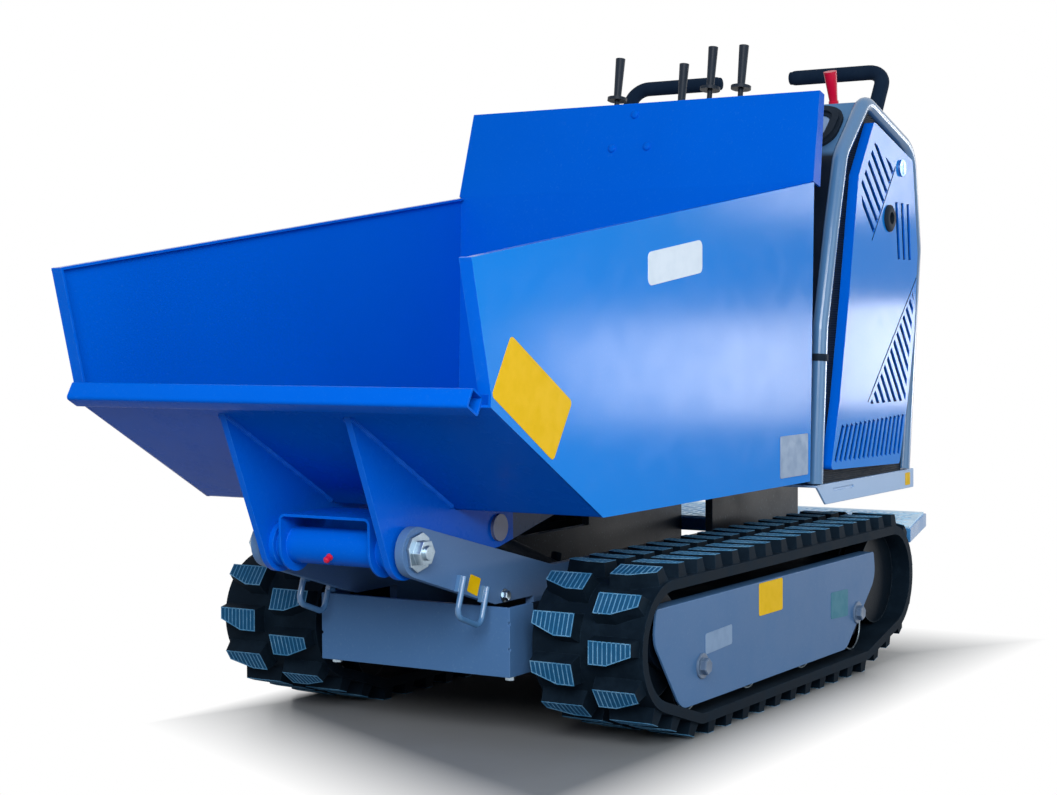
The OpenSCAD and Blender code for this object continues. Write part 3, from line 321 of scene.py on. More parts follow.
def paint(name, colour, shade, worn, rough, gloss_spread, specular, coat=0.0, beyond=None, outer=None,
          shade_slots=False, tint=(1.0, 1.0, 1.0)):
    """Sprayed enamel: slow tone changes, dust in the gloss, pale worn edges and a fine orange peel.

    beyond = (axis, from, to, colour) fades to another colour along one axis of the part.
    outer is a lighter, greener tone painted on the faces that look out sideways: a painted sky reflection.
    Sheets with slots get painted shade, dark in their slots and on their inward faces; tint colours the
    gloss.
    """
    f = Finish(name)
    cloud = f.noise(2.6, detail=4.0)
    dust = f.span(f.noise(17.0, detail=5.0, rough=0.65), 0.42, 0.75)
    fine = f.span(f.noise(230.0, detail=2.0), 0.60, 0.72)
    tone = f.blend(f.span(cloud, 0.3, 0.7), colour, shade)
    if beyond:
        axis, start, end, other = beyond
        tone = f.blend(f.span(f.axis(axis), start, end), tone, other)
    # painted sky reflection: the outward faces take the lighter outer tone
    if outer:
        tone = f.blend(f.span(f.outward(), 0.5, 0.9), tone, outer)
    edge = f.math("MULTIPLY", f.edges(0.0022), f.span(f.noise(45.0, detail=4.0, rough=0.7), 0.40, 0.62))
    tone = f.blend(f.math("MULTIPLY", edge, 0.55), tone, worn)
    tone = f.blend(f.math("MULTIPLY", fine, 0.10), tone, worn)
    if shade_slots:
        # painted shade in the slots and on the inward faces
        tone = f.blend(f.slot_shade(SLOT_REACH), tone, SLOT_PAINTED_SHADE)
    f.set(Base_Color=tone, Roughness=f.span(dust, 0.0, 1.0, rough, rough + gloss_spread),
          Specular_IOR_Level=specular, Specular_Tint=(*tint, 1.0), Coat_Weight=coat, Coat_Roughness=0.10)
    f.bump(f.noise(420.0, detail=2.0), 0.03, 0.0006)
    return f.material


def rubber(name, colour, dusty, rough=0.72, grain=650.0):
    """Moulded rubber: a grey bloom in patches, fine grain and scuffed edges."""
    f = Finish(name)
    bloom = f.span(f.noise(24.0, detail=6.0, rough=0.68), 0.45, 0.78)
    scuff = f.math("MULTIPLY", f.edges(0.003), f.span(f.noise(90.0), 0.42, 0.60))
    tone = f.blend(f.math("MULTIPLY", bloom, 0.45), colour, dusty)
    tone = f.blend(f.math("MULTIPLY", scuff, 0.7), tone, dusty)
    f.set(Base_Color=tone, Roughness=f.span(bloom, 0.0, 1.0, rough, rough + 0.16), Specular_IOR_Level=0.08,
          Specular_Tint=RUBBER_TINT)
    f.bump(f.noise(grain), 0.18, 0.0008)
    return f.material


def ribbed_rubber(name, colour, dusty, pitch):
    """Extruded seal with fine cross ribs along its upright legs."""
    f = Finish(name)
    ribs = f.math("SINE", f.math("MULTIPLY", f.axis("Z"), math.tau / pitch))
    bloom = f.span(f.noise(40.0, detail=5.0, rough=0.65), 0.45, 0.78)
    tone = f.blend(f.math("MULTIPLY", f.span(ribs, 0.2, 1.0), 0.5), colour, dusty)
    tone = f.blend(f.math("MULTIPLY", bloom, 0.3), tone, dusty)
    f.set(Base_Color=tone, Roughness=f.span(bloom, 0.0, 1.0, 0.55, 0.72), Specular_IOR_Level=0.08,
          Specular_Tint=RUBBER_TINT)
    f.bump(ribs, 0.5, 0.0010)
    return f.material


def steel(name, colour, stain, rough, stretch, metallic=1.0):
    """Bare or plated metal: drawn grain and dull stains."""
    f = Finish(name)
    grain = f.noise(120.0, detail=4.0, rough=0.6, stretch=stretch)
    stains = f.span(f.noise(32.0, detail=5.0, rough=0.6), 0.45, 0.72)
    tone = f.blend(f.math("MULTIPLY", stains, 0.7), colour, stain)
    f.set(Base_Color=tone, Metallic=metallic,
          Roughness=f.math("ADD", f.span(grain, 0.3, 0.7, rough - 0.07, rough + 0.07),
                           f.math("MULTIPLY", stains, 0.12)))
    f.bump(grain, 0.08, 0.0005)
    return f.material


def cast(name, colour, rust, rim):
    """Cast and machined iron under thin paint, paler along its rims."""
    f = Finish(name)
    spots = f.span(f.noise(38.0, detail=6.0, rough=0.7), 0.55, 0.75)
    tone = f.blend(f.math("MULTIPLY", spots, 0.5), colour, rust)
    tone = f.blend(f.math("MULTIPLY", f.edges(0.004), 0.35), tone, rim)
    f.set(Base_Color=tone, Roughness=f.span(spots, 0.0, 1.0, 0.42, 0.65), Metallic=0.0,
          Specular_IOR_Level=0.06)
    f.bump(f.noise(210.0, detail=4.0, rough=0.7), 0.25, 0.0010)
    return f.material


def plastic(name, colour, worn, rough, grain=900.0, strength=0.12):
    """Grained moulded plastic with polished edges."""
    f = Finish(name)
    wear = f.span(f.noise(30.0, detail=4.0), 0.45, 0.75)
    tone = f.blend(f.math("MULTIPLY", wear, 0.35), colour, worn)
    tone = f.blend(f.math("MULTIPLY", f.edges(0.0015), 0.35), tone, worn)
    f.set(Base_Color=tone, Roughness=f.span(wear, 0.0, 1.0, rough, rough + 0.12), Specular_IOR_Level=0.2)
    f.bump(f.noise(grain, detail=2.0), strength, 0.0005)
    return f.material


def foil(name, colour, aged, rough, specular):
    """Plain foil label or plate with a slightly rippled skin."""
    f = Finish(name)
    age = f.span(f.noise(55.0, detail=4.0), 0.40, 0.75)
    tone = f.blend(f.math("MULTIPLY", age, 0.4), colour, aged)
    tone = f.blend(f.math("MULTIPLY", f.edges(0.0012), 0.5), tone, aged)
    f.set(Base_Color=tone, Roughness=f.span(age, 0.0, 1.0, rough, rough + 0.15), Specular_IOR_Level=specular)
    f.bump(f.noise(140.0, detail=2.0), 0.06, 0.0005)
    return f.material


BLUE, BLUE_SHADE, BLUE_WORN = (0.0, 0.112, 0.640), (0.0, 0.102, 0.600), (0.06, 0.28, 0.78)
# Lighter, greener blue painted on the outward faces of the skip sides and side panels: a painted sky
# reflection
BLUE_PAINTED_SKY = (0.0, 0.205, 0.720)
GREY, GREY_SHADE, GREY_WORN = (0.062, 0.150, 0.320), (0.053, 0.134, 0.292), (0.20, 0.31, 0.45)
PALE, PALE_SHADE, PALE_WORN = (0.072, 0.185, 0.365), (0.062, 0.165, 0.335), (0.15, 0.28, 0.45)
DARK, DARK_SHADE, DARK_WORN = (0.005, 0.012, 0.026), (0.004, 0.009, 0.019), (0.04, 0.06, 0.09)
GUSSET_REAR = (0.075, 0.105, 0.180)

blue_paint = paint("blue_enamel", BLUE, BLUE_SHADE, BLUE_WORN, 0.22, 0.12, 0.015)
# The skip sides and the side panels below take the painted sky reflection on their outward faces
side_paint = paint("side_enamel", BLUE, BLUE_SHADE, BLUE_WORN, 0.13, 0.07, 0.035, outer=BLUE_PAINTED_SKY)
panel_paint = paint("panel_enamel", BLUE, BLUE_SHADE, BLUE_WORN, 0.10, 0.05, 0.06, outer=BLUE_PAINTED_SKY,
                    shade_slots=True)
gusset_paint = paint("gusset_enamel", BLUE, BLUE_SHADE, BLUE_WORN, 0.26, 0.12, 0.05,
                     beyond=("X", 0.4095, 0.4075, GUSSET_REAR))
grey_paint = paint("grey_enamel", GREY, GREY_SHADE, GREY_WORN, 0.36, 0.14, 0.10)
# The arm enamel fades to the dark enamel towards the rear: painted shade where the arms run under the skip
arm_paint = paint("arm_enamel", (0.088, 0.180, 0.360), (0.076, 0.162, 0.330), GREY_WORN, 0.36, 0.14, 0.12,
                  beyond=("X", 0.30, 0.12, DARK))
pale_grey = paint("pale_grey_enamel", PALE, PALE_SHADE, PALE_WORN, 0.18, 0.10, 0.5, coat=0.2)
# The deck's enamel is a lighter, bluer copy of the grey enamel: painted light on the same paint
deck_painted_light = paint("deck_painted_light_enamel", (0.260, 0.420, 0.690), (0.225, 0.375, 0.630), (0.36, 0.50, 0.72),
                   0.28, 0.12, 0.2)
front_paint = paint("hood_front_enamel", DARK, DARK_SHADE, DARK_WORN, 0.40, 0.2, 0.15,
                    beyond=("Z", 0.895, 0.905, PALE))
dark_paint = paint("dark_enamel", DARK, DARK_SHADE, DARK_WORN, 0.45, 0.2, 0.02, tint=(0.35, 0.62, 1.0))
dash_paint = paint("dash_enamel", (0.20, 0.33, 0.58), (0.17, 0.29, 0.52), (0.30, 0.42, 0.62), 0.20, 0.10, 0.5)
step_paint = paint("step_enamel", (0.060, 0.250, 0.560), (0.050, 0.220, 0.510), (0.20, 0.40, 0.66),
                   0.26, 0.12, 0.25)
bolt_paint = paint("bolt_enamel", (0.085, 0.140, 0.235), (0.060, 0.100, 0.175), (0.26, 0.34, 0.44),
                   0.32, 0.15, 0.4)
pin_paint = paint("pin_enamel", (0.130, 0.150, 0.240), (0.110, 0.130, 0.210), (0.30, 0.34, 0.42),
                  0.40, 0.15, 0.35)
weld_paint = paint("weld_enamel", BLUE_SHADE, BLUE_SHADE, BLUE_WORN, 0.34, 0.12, 0.06)
track_rubber = rubber("track_rubber", (0.003, 0.007, 0.013), (0.014, 0.028, 0.046))
# The lug faces are a lighter, bluer copy of the belt's rubber: painted light, with the rubber's own dust
# bloom; the ribs are lighter still: a painted highlight along them
lug_lit_rubber = rubber("lug_lit_rubber", (0.010, 0.070, 0.160), (0.028, 0.105, 0.215), 0.6)
rib_highlight_rubber = rubber("rib_highlight_rubber", (0.050, 0.200, 0.380), (0.260, 0.480, 0.680), 0.6)
seal_rubber = rubber("seal_rubber", (0.009, 0.015, 0.026), (0.030, 0.042, 0.062), 0.55)
panel_seal = ribbed_rubber("ribbed_seal", (0.003, 0.006, 0.012), (0.022, 0.034, 0.055), 0.0040)
foam = rubber("grip_foam", (0.007, 0.016, 0.036), (0.018, 0.032, 0.058), 0.8, 1500.0)
black_plastic = plastic("black_plastic", (0.007, 0.014, 0.027), (0.024, 0.038, 0.060), 0.42)
red_plastic = plastic("red_plastic", (0.560, 0.004, 0.040), (0.64, 0.06, 0.10), 0.30, 700.0, 0.05)
zinc = steel("zinc_steel", (0.40, 0.50, 0.58), (0.18, 0.24, 0.30), 0.32, (1.0, 1.0, 3.0))
lock_steel = steel("lock_steel", (0.20, 0.36, 0.62), (0.12, 0.22, 0.42), 0.28, (1.0, 1.0, 1.0))
tread_steel = steel("tread_steel", (0.48, 0.76, 0.98), (0.34, 0.58, 0.80), 0.36, (1.0, 4.0, 1.0), 0.2)
chrome = steel("rod_chrome", (0.74, 0.76, 0.80), (0.58, 0.60, 0.64), 0.12, (0.5, 6.0, 6.0))
cast_iron = cast("cast_iron", (0.004, 0.008, 0.014), (0.011, 0.012, 0.015), (0.16, 0.20, 0.25))
yellow_foil = foil("yellow_foil", (0.780, 0.470, 0.002), (0.66, 0.40, 0.006), 0.45, 0.05)
silver_foil = foil("silver_foil", (0.175, 0.275, 0.440), (0.12, 0.19, 0.33), 0.36, 0.15)
white_foil = foil("white_foil", (0.66, 0.74, 0.86), (0.56, 0.65, 0.78), 0.40, 0.10)
teal_foil = foil("teal_foil", (0.030, 0.170, 0.250), (0.026, 0.140, 0.210), 0.42, 0.10)

FINISHES = {
    blue_paint: "skip_floor skip_back lip_tube hinge_bracket",
    side_paint: "skip_side_left skip_side_right",
    panel_paint: "side_panel_left side_panel_right hood_rear_panel",
    gusset_paint: "hinge_gussets",
    step_paint: "rear_platform",
    dash_paint: "dash_plate",
    grey_paint: "front_cover track_covers",
    deck_painted_light: "engine_deck",
    arm_paint: "frame_arms",
    pale_grey: "hood_frame_left hood_frame_right tie_down_rings",
    front_paint: "hood_front_panel",
    dark_paint: "main_frame track_frames cylinder_barrel",
    pin_paint: "cylinder_pins",
    track_rubber: "track_left track_right",
    seal_rubber: "panel_grommets hood_bezel",
    panel_seal: "panel_seals",
    cast_iron: "sprockets idlers rollers drive_motors engine_block",
    zinc: "pivot_pin cylinder_base_pin",
    lock_steel: "panel_locks",
    tread_steel: "platform_tread",
    black_plastic: "console control_levers",
    foam: "handlebars",
    red_plastic: "throttle_lever",
    chrome: "cylinder_rod",
}
# Edge radius of each node's sheets and blocks; the rest keep the corners of the solids
EDGE_RADII = {
    0.0010: ("skip_floor skip_side_left skip_side_right skip_back hinge_gussets hinge_bracket engine_deck "
             "hood_rear_panel dash_plate front_cover track_covers"),
    0.0016: "frame_arms rear_platform main_frame",
    0.0006: "side_panel_left side_panel_right hood_front_panel console tie_down_rings pivot_pin",
    0.0022: "track_left track_right engine_block",
}
MERGE_DISTANCE = 2e-6
SMOOTH_ANGLE, FLAT_ANGLE, BEVEL_ANGLE = math.radians(32), math.radians(0.5), math.radians(38)


def smooth_group():
    """Geometry nodes that weld the solid's faces and shade them smooth up to a set angle."""
    group = bpy.data.node_groups.new("smooth_by_angle", "GeometryNodeTree")
    group.interface.new_socket("Geometry", in_out="INPUT", socket_type="NodeSocketGeometry")
    group.interface.new_socket("Geometry", in_out="OUTPUT", socket_type="NodeSocketGeometry")
    add, link = group.nodes.new, group.links.new
    start, end = add("NodeGroupInput"), add("NodeGroupOutput")
    plain = add("GeometryNodeRemoveAttribute")
    plain.inputs["Name"].default_value = "custom_normal"
    weld = add("GeometryNodeMergeByDistance")
    weld.inputs["Distance"].default_value = MERGE_DISTANCE
    faces, edges = add("GeometryNodeSetShadeSmooth"), add("GeometryNodeSetShadeSmooth")
    faces.domain, edges.domain = "FACE", "EDGE"
    edges.inputs["Shade Smooth"].default_value = False
    angle = add("GeometryNodeInputMeshEdgeAngle")
    sharp = add("FunctionNodeCompare")
    sharp.data_type, sharp.operation = "FLOAT", "GREATER_THAN"
    sharp.inputs[1].default_value = SMOOTH_ANGLE
    link(start.outputs[0], plain.inputs["Geometry"])
    link(plain.outputs["Geometry"], weld.inputs["Geometry"])
    link(weld.outputs["Geometry"], faces.inputs["Geometry"])
    link(faces.outputs["Geometry"], edges.inputs["Geometry"])
    link(angle.outputs["Unsigned Angle"], sharp.inputs[0])
    link(sharp.outputs["Result"], edges.inputs["Selection"])
    link(edges.outputs["Geometry"], end.inputs[0])
    return group


def dress_nodes():
    """Gives every CAD node its finish and smooth curves, and soft edges where EDGE_RADII lists it."""
    group = smooth_group()
    for material, names in FINISHES.items():
        for name in names.split():
            node = NODES[name]
            node.data.materials.clear()
            node.data.materials.append(material)
            node.modifiers.new("smooth", "NODES").node_group = group
    for radius, names in EDGE_RADII.items():
        for name in names.split():
            flat = NODES[name].modifiers.new("flat", "DECIMATE")
            flat.decimate_type = "DISSOLVE"
            flat.angle_limit = FLAT_ANGLE
            edge = NODES[name].modifiers.new("edge", "BEVEL")
            edge.limit_method = "ANGLE"
            edge.angle_limit = BEVEL_ANGLE
            edge.width = radius
            edge.segments = 2
            edge.harden_normals = True


dress_nodes()


# Track: ribbed tops of the lugs, on the same loop as the part's belt

TRACK_MID_Y, TRACK_W = 0.285, 0.180
LUG_PITCH, LUG_H, BELT_T = 0.060, 0.020, 0.015
LUG_INNER_L, LUG_OUTER_L, LUG_CUT_SHARE = 0.034, 0.018, 0.42
LUG_EDGE, LUG_MIDDLE_GAP, LUG_FLANK = 0.005, 0.022, 0.003
IDLER_X, SPROCKET_X, REAR_ROLLER_X, FRONT_ROLLER_X = 0.396, -0.459, -0.334, 0.297
END_R, END_Z, ROLLER_R, ROLLERS, SEAT_GAP = 0.080, 0.148, 0.040, 4, 0.0003
LOOP_R = [END_R + SEAT_GAP + BELT_T] * 2 + [ROLLER_R + SEAT_GAP + BELT_T] * 2
ROLLER_Z = LUG_H + LOOP_R[2]
LOOP_C = [Vector(c) for c in ((IDLER_X, END_Z), (SPROCKET_X, END_Z), (REAR_ROLLER_X, ROLLER_Z),
                              (FRONT_ROLLER_X, ROLLER_Z))]
WHEELS = len(LOOP_C)


def run_angle(i):
    """Outward angle of the straight run that leaves wheel i."""
    j = (i + 1) % WHEELS
    d = LOOP_C[j] - LOOP_C[i]
    return math.atan2(d.y, d.x) - math.acos((LOOP_R[i] - LOOP_R[j]) / d.length)


def on_wheel(i, angle):
    return LOOP_C[i] + Vector((math.cos(angle), math.sin(angle))) * LOOP_R[i]


def loop_sections():
    """The loop's parts in turn, as five values each.

    A straight run has "run", its start, its end, its outward angle and its length.
    An arc has "arc", the number of its wheel, None, its first angle and its length.
    """
    sections = []
    for i in range(WHEELS):
        j = (i + 1) % WHEELS
        start, end = on_wheel(i, run_angle(i)), on_wheel(j, run_angle(i))
        sections.append(("run", start, end, run_angle(i), (end - start).length))
        sweep = (run_angle(j) - run_angle(i)) % math.tau
        sections.append(("arc", j, None, run_angle(i), sweep * LOOP_R[j]))
    return sections


def loop_place(s, sections):
    """Point on the belt's outside and its outward angle, at the distance s along the loop."""
    for kind, a, b, angle, length in sections:
        if s < length:
            if kind == "run":
                return a.lerp(b, s / length), angle
            turned = angle + s / LOOP_R[a]
            return on_wheel(a, turned), turned
        s -= length


def make_lug_tops(end, side):
    """Thin face on each lug, with ribs across it and along its rim; the faces take painted light and the ribs
    a painted highlight.
    """
    skin, rib_w, rib_h, ribs = 0.00015, 0.0014, 0.0007, 10
    first_share, spare_share = 0.12, 0.76
    sections = loop_sections()
    loop_len = sum(length for *_, length in sections)
    count = round(loop_len / LUG_PITCH)
    row_w = TRACK_W / 2 - LUG_EDGE - LUG_MIDDLE_GAP / 2
    top_w, half_l = row_w - 2 * LUG_FLANK, LUG_INNER_L / 2
    half_w, cut = top_w / 2, (LUG_CUT_SHARE - 0.5) * top_w
    outer = half_l - (LUG_INNER_L - LUG_OUTER_L)

    def front_at(t):
        return half_l if t <= cut else half_l + (outer - half_l) * (t - cut) / (half_w - cut)

    face = [(-half_l, -half_w), (half_l, -half_w), (half_l, cut), (outer, half_w), (-half_l, half_w)]
    stations = [top_w * ((k + first_share) / (ribs - spare_share) - 0.5) for k in range(ribs)]
    lines = [((-half_l, t), (front_at(t), t)) for t in stations]
    rear, front = -half_l + rib_w / 2, half_l - rib_w / 2
    lines += [((rear, -half_w), (rear, half_w)), ((front, -half_w), (front, cut)),
              ((front, cut), (outer, half_w))]
    plates, ribs_bm = bmesh.new(), bmesh.new()
    for row, stagger in ((-1, 0.0), (1, 0.5)):
        for k in range(count):
            point, angle = loop_place((k + stagger) * loop_len / count, sections)
            out = Vector((math.cos(angle), 0, math.sin(angle)))
            along = Vector((math.sin(angle), 0, -math.cos(angle)))
            across = Vector((0, row * side, 0))
            row_y = side * (TRACK_MID_Y + row * (LUG_MIDDLE_GAP + row_w) / 2)
            place = Matrix((along, across, out)).transposed().to_4x4()
            place.translation = Vector((point.x, row_y, point.y)) + out * LUG_H
            add_prism(plates, face, place, -skin, skin)
            for (s0, t0), (s1, t1) in lines:
                d = Vector((s1 - s0, t1 - t0)).normalized()
                n = Vector((-d.y, d.x)) * rib_w / 2
                rib = [(s0 + n.x, t0 + n.y), (s1 + n.x, t1 + n.y), (s1 - n.x, t1 - n.y), (s0 - n.x, t0 - n.y)]
                add_prism(ribs_bm, rib, place, 0, rib_h)
    new_object("lug_tops_" + end, plates, lug_lit_rubber, "chassis", smooth=False)
    new_object("lug_ribs_" + end, ribs_bm, rib_highlight_rubber, "chassis", smooth=False)


make_lug_tops("left", 1)
make_lug_tops("right", -1)


# Rear platform: raised lens pattern of the tread plate

def make_tread():
    low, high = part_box("platform_tread")
    pitch, length, width, height, margin = 0.021, 0.0225, 0.0062, 0.0014, 0.014
    front_y, rear_y, sink, crown_share, steps = high.y, 0.276, 0.0002, 0.62, 5
    rim = []
    for side in (1, -1):
        for a in (-1 + 2 * s / steps for s in range(steps)):
            rim.append(Vector((side * a * length / 2, side * (1 - a * a) * width / 2, 0)))
    base = [p - Vector((0, 0, sink)) for p in rim]
    crown = [p * crown_share + Vector((0, 0, height)) for p in rim]
    bm = bmesh.new()
    for i in range(int((high.x - low.x - margin) / pitch)):
        x = high.x - margin - i * pitch
        half = rear_y + (front_y - rear_y) * (x - low.x) / (high.x - low.x) - margin
        rows = int(half / pitch)
        for k in range(-rows, rows + 1):
            turn = math.pi / 4 if (i + k) % 2 else -math.pi / 4
            place = Matrix.Translation((x, k * pitch, high.z)) @ Matrix.Rotation(turn, 4, "Z")
            skin_rings(bm, [[bm.verts.new(place @ p) for p in ring] for ring in (base, crown)])
    new_object("tread_lenses", bm, tread_steel, "chassis")


make_tread()


# Bolts, roller rims, rivets and the grease nipple's cap

def make_cover_bolts():
    """Two bolts through each track cover."""
    bm = bmesh.new()
    for side in (1, -1):
        for x, z in ((0.296, 0.104), (-0.302, 0.107)):
            place = frame_at((x, side * COVER_Y, z), (0, side, 0))
            add_hex_bolt(bm, place, across=0.022, head=0.009, washer_r=0.019, washer_t=0.003)
    new_object("track_cover_bolts", bm, bolt_paint, "chassis")


def make_roller_rims():
    """Bright worn rim on the outer face of each roller."""
    face_y, sink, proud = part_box("rollers")[1].y, 0.0004, 0.0008
    inner_r, outer_r, slant = ROLLER_R - 0.0030, ROLLER_R - 0.0004, 0.0004
    profile = [(inner_r, -sink), (inner_r + slant, proud), (outer_r - slant, proud), (outer_r, -sink)]
    bm = bmesh.new()
    for side in (1, -1):
        for k in range(ROLLERS):
            x = REAR_ROLLER_X + (FRONT_ROLLER_X - REAR_ROLLER_X) * k / (ROLLERS - 1)
            add_lathe(bm, profile, frame_at((x, side * face_y, ROLLER_Z), (0, side, 0)), sides=48)
    new_object("roller_rims", bm, zinc, "chassis")


def make_front_bolts():
    """Bolts under the front cover, and in the arms above it."""
    cover_z, cover_x, cover_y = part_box("front_cover")[0].z, 0.488, 0.156
    arm_x, arm_z = 0.466, 0.2128
    across, cover_head, arm_head, washer_r, washer_t = 0.013, 0.006, 0.007, 0.010, 0.0016
    bm = bmesh.new()
    for side in (1, -1):
        under_cover = frame_at((cover_x, side * cover_y, cover_z), (0, 0, -1))
        on_arm = frame_at((arm_x, side * ARM_Y, arm_z), (0, side, 0))
        add_hex_bolt(bm, under_cover, across, cover_head, washer_r, washer_t)
        add_hex_bolt(bm, on_arm, across, arm_head, washer_r, washer_t)
    new_object("front_cover_bolts", bm, zinc, "chassis")


def make_rivets():
    """Three rivets on the front of the skip's leaning back plate."""
    lean, plate_t = math.radians(15), 0.004
    low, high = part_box("skip_side_left")
    up = Vector((-math.sin(lean), 0, math.cos(lean)))
    ahead = Vector((math.cos(lean), 0, math.sin(lean)))
    foot = Vector((low.x, 0, high.z)) + ahead * plate_t
    bm = bmesh.new()
    for y, height in ((-0.003, 0.139), (-0.041, 0.078), (0.029, 0.078)):
        place = frame_at(foot + up * height + Vector((0, y, 0)), ahead)
        add_dome(bm, place, radius=0.0075, height=0.0042)
    new_object("back_plate_rivets", bm, blue_paint, "skip")


def make_nipple_cap():
    """Red cap of the grease nipple on the hinge tube."""
    dip, sink = -0.45, 0.0005
    out = Vector((math.cos(dip), 0, math.sin(dip)))
    profile = [(0.0050, 0), (0.0050, 0.0024), (0.0036, 0.0034), (0.0036, 0.0060), (0.0047, 0.0072),
               (0.0047, 0.0100), (0.0028, 0.0120), (0, 0.0124)]
    bm = bmesh.new()
    add_lathe(bm, profile, frame_at(PIVOT + out * (HINGE_TUBE_R - sink), out), sides=16)
    new_object("nipple_cap", bm, red_plastic, "skip")


make_cover_bolts()
make_roller_rims()
make_front_bolts()
make_rivets()
make_nipple_cap()


# Blank labels and plates, all on left faces

def rectangle(x_low, x_high, z_low, z_high):
    return (x_high, z_high), (x_low, z_high), (x_low, z_low), (x_high, z_low)


def make_label(name, corners, face_y, material, body, radius=0.004, thickness=0.0006):
    """Label with rounded corners on a face across Y; corners are (x, z)."""
    corners = [Vector(c) for c in corners]
    middle = sum(corners, Vector((0, 0))) / len(corners)
    place = frame_at((middle.x, face_y, middle.y), (0, 1, 0))
    bm = bmesh.new()
    add_plate(bm, rounded_corners([Vector((middle.x - c.x, c.y - middle.y)) for c in corners], radius), place,
              thickness)
    new_object(name, bm, material, body)


make_label("skip_sign", ((0.794, 0.595), (0.643, 0.506), (0.6925, 0.430), (0.840, 0.520)), SKIP_Y,
           yellow_foil, "skip", radius=0.007)
make_label("skip_badge", ((0.430, 0.709), (0.260, 0.733), (0.260, 0.684), (0.430, 0.661)), SKIP_Y,
           white_foil, "skip", radius=0.010)
make_label("cover_label", ((0.285, 0.150), (0.195, 0.153), (0.195, 0.123), (0.285, 0.119)), COVER_Y,
           silver_foil, "chassis")
make_label("oil_label", ((-0.187, 0.155), (-0.260, 0.153), (-0.260, 0.107), (-0.187, 0.110)), COVER_Y,
           teal_foil, "chassis")
make_label("rating_plate", rectangle(-0.128, -0.018, 0.358, 0.426), SKIP_Y, silver_foil, "skip",
           radius=0.003, thickness=0.0010)
make_label("cover_sign", rectangle(0.010, 0.098, 0.152, 0.203), COVER_Y, yellow_foil, "chassis")
make_label("arm_sign", ((0.5545, 0.2537), (0.5284, 0.2446), (0.5387, 0.2200), (0.5646, 0.2306)), ARM_Y,
           yellow_foil, "chassis", radius=0.002)
make_label("deck_sign", rectangle(-0.605, -0.581, 0.307, 0.330), DECK_Y, yellow_foil, "chassis",
           radius=0.002)


# Handlebar grips and hoop bands

def make_grips():
    """Foam sleeve on each bar, from a round nose at its inner end, round the bend and down the leg."""
    lean, grip_x, grip_z = math.radians(32), -0.680, 1.086
    inner_y, outer_y, bend_r, leg_l = 0.076, 0.270, 0.032, 0.098
    sleeve_r, tip_r, nose_past, nose_steps, straight_steps = 0.0142, 0.0006, 0.004, 6, 14
    leg = Vector((math.sin(lean), 0, -math.cos(lean))) * leg_l
    nose_angles = [math.pi / 2 * (1 - k / nose_steps) for k in range(nose_steps)]
    for side, name in ((1, "grip_left"), (-1, "grip_right")):
        bend = Vector((grip_x, side * outer_y, grip_z))
        inner = Vector((grip_x, side * inner_y, grip_z))
        tip, nose_l = inner - Vector((0, side * nose_past, 0)), Vector((0, side * sleeve_r, 0))
        line = eased([inner, bend, bend + leg], bend_r)
        nose = [tip + nose_l * (1 - math.sin(a)) for a in nose_angles]
        straight = [(tip + nose_l).lerp(line[1], k / straight_steps) for k in range(straight_steps + 1)]
        points = nose + straight + line[2:]
        radii = [max(sleeve_r * math.cos(a), tip_r) for a in nose_angles]
        radii += [sleeve_r] * (len(points) - nose_steps)
        bm = bmesh.new()
        add_sweep(bm, points, radii, sides=20)
        new_object(name, bm, foam, "chassis")


def make_hoop_bands():
    """Clip band round each front hoop leg."""
    low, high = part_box("hood_frame_left")
    hoop_y, hoop_r = (low.y + high.y) / 2, (high.y - low.y) / 2
    band_z, band_w, rim, crown, inset = 0.55, 0.012, 0.0014, 0.0019, 0.0005
    foot, knee = Vector((-0.175, 0.3382)), Vector((-0.1971, 0.6017))
    leg = (knee - foot).normalized()
    centre = foot.lerp(knee, (band_z - foot.y) / (knee.y - foot.y))
    profile = [(hoop_r - inset, -band_w / 2), (hoop_r + rim, -band_w / 2), (hoop_r + crown, -band_w / 4),
               (hoop_r + crown, band_w / 4), (hoop_r + rim, band_w / 2), (hoop_r - inset, band_w / 2)]
    bm = bmesh.new()
    for side in (1, -1):
        place = frame_at((centre.x, side * hoop_y, centre.y), (leg.x, 0, leg.y), up=(0, 1, 0))
        add_lathe(bm, profile, place, sides=28)
    new_object("hoop_bands", bm, seal_rubber, "chassis")


make_grips()
make_hoop_bands()


# Welds

def make_welds():
    along = Vector((math.cos(SKIP_SLOPE), 0, math.sin(SKIP_SLOPE)))
    inside = Vector((-math.sin(SKIP_SLOPE), 0, math.cos(SKIP_SLOPE)))
    gusset_y, gusset_t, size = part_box("hinge_gussets")[1].y, 0.010, 0.0045
    gusset_start, gusset_end = 0.012, 0.286
    bm = bmesh.new()
    for side in (1, -1):
        for y, out in ((gusset_y, side), (gusset_y - gusset_t, -side)):
            foot = SKIP_BEND + Vector((0, side * y, 0))
            add_weld(bm, foot + along * gusset_start, foot + along * gusset_end, (0, out, 0), -inside, size)
    new_object("gusset_welds", bm, weld_paint, "skip")

    wall_y, sheet_t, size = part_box("skip_floor")[1].y, 0.004, 0.0035
    rear_x, bend_gap, slope_start, slope_end = -0.128, 0.004, 0.006, 0.318
    bm = bmesh.new()
    for side in (1, -1):
        fold = SKIP_BEND + Vector((0, side * wall_y, 0))
        flat = fold + Vector((0, 0, sheet_t))
        rear = Vector((rear_x, flat.y, flat.z))
        add_weld(bm, rear, flat - Vector((bend_gap, 0, 0)), (0, -side, 0), (0, 0, 1), size)
        steep = fold + inside * sheet_t
        add_weld(bm, steep + along * slope_start, steep + along * slope_end, (0, -side, 0), inside, size)
    new_object("floor_welds", bm, weld_paint, "skip")


make_welds()


# Studio: pale floor, white surroundings, soft lamps

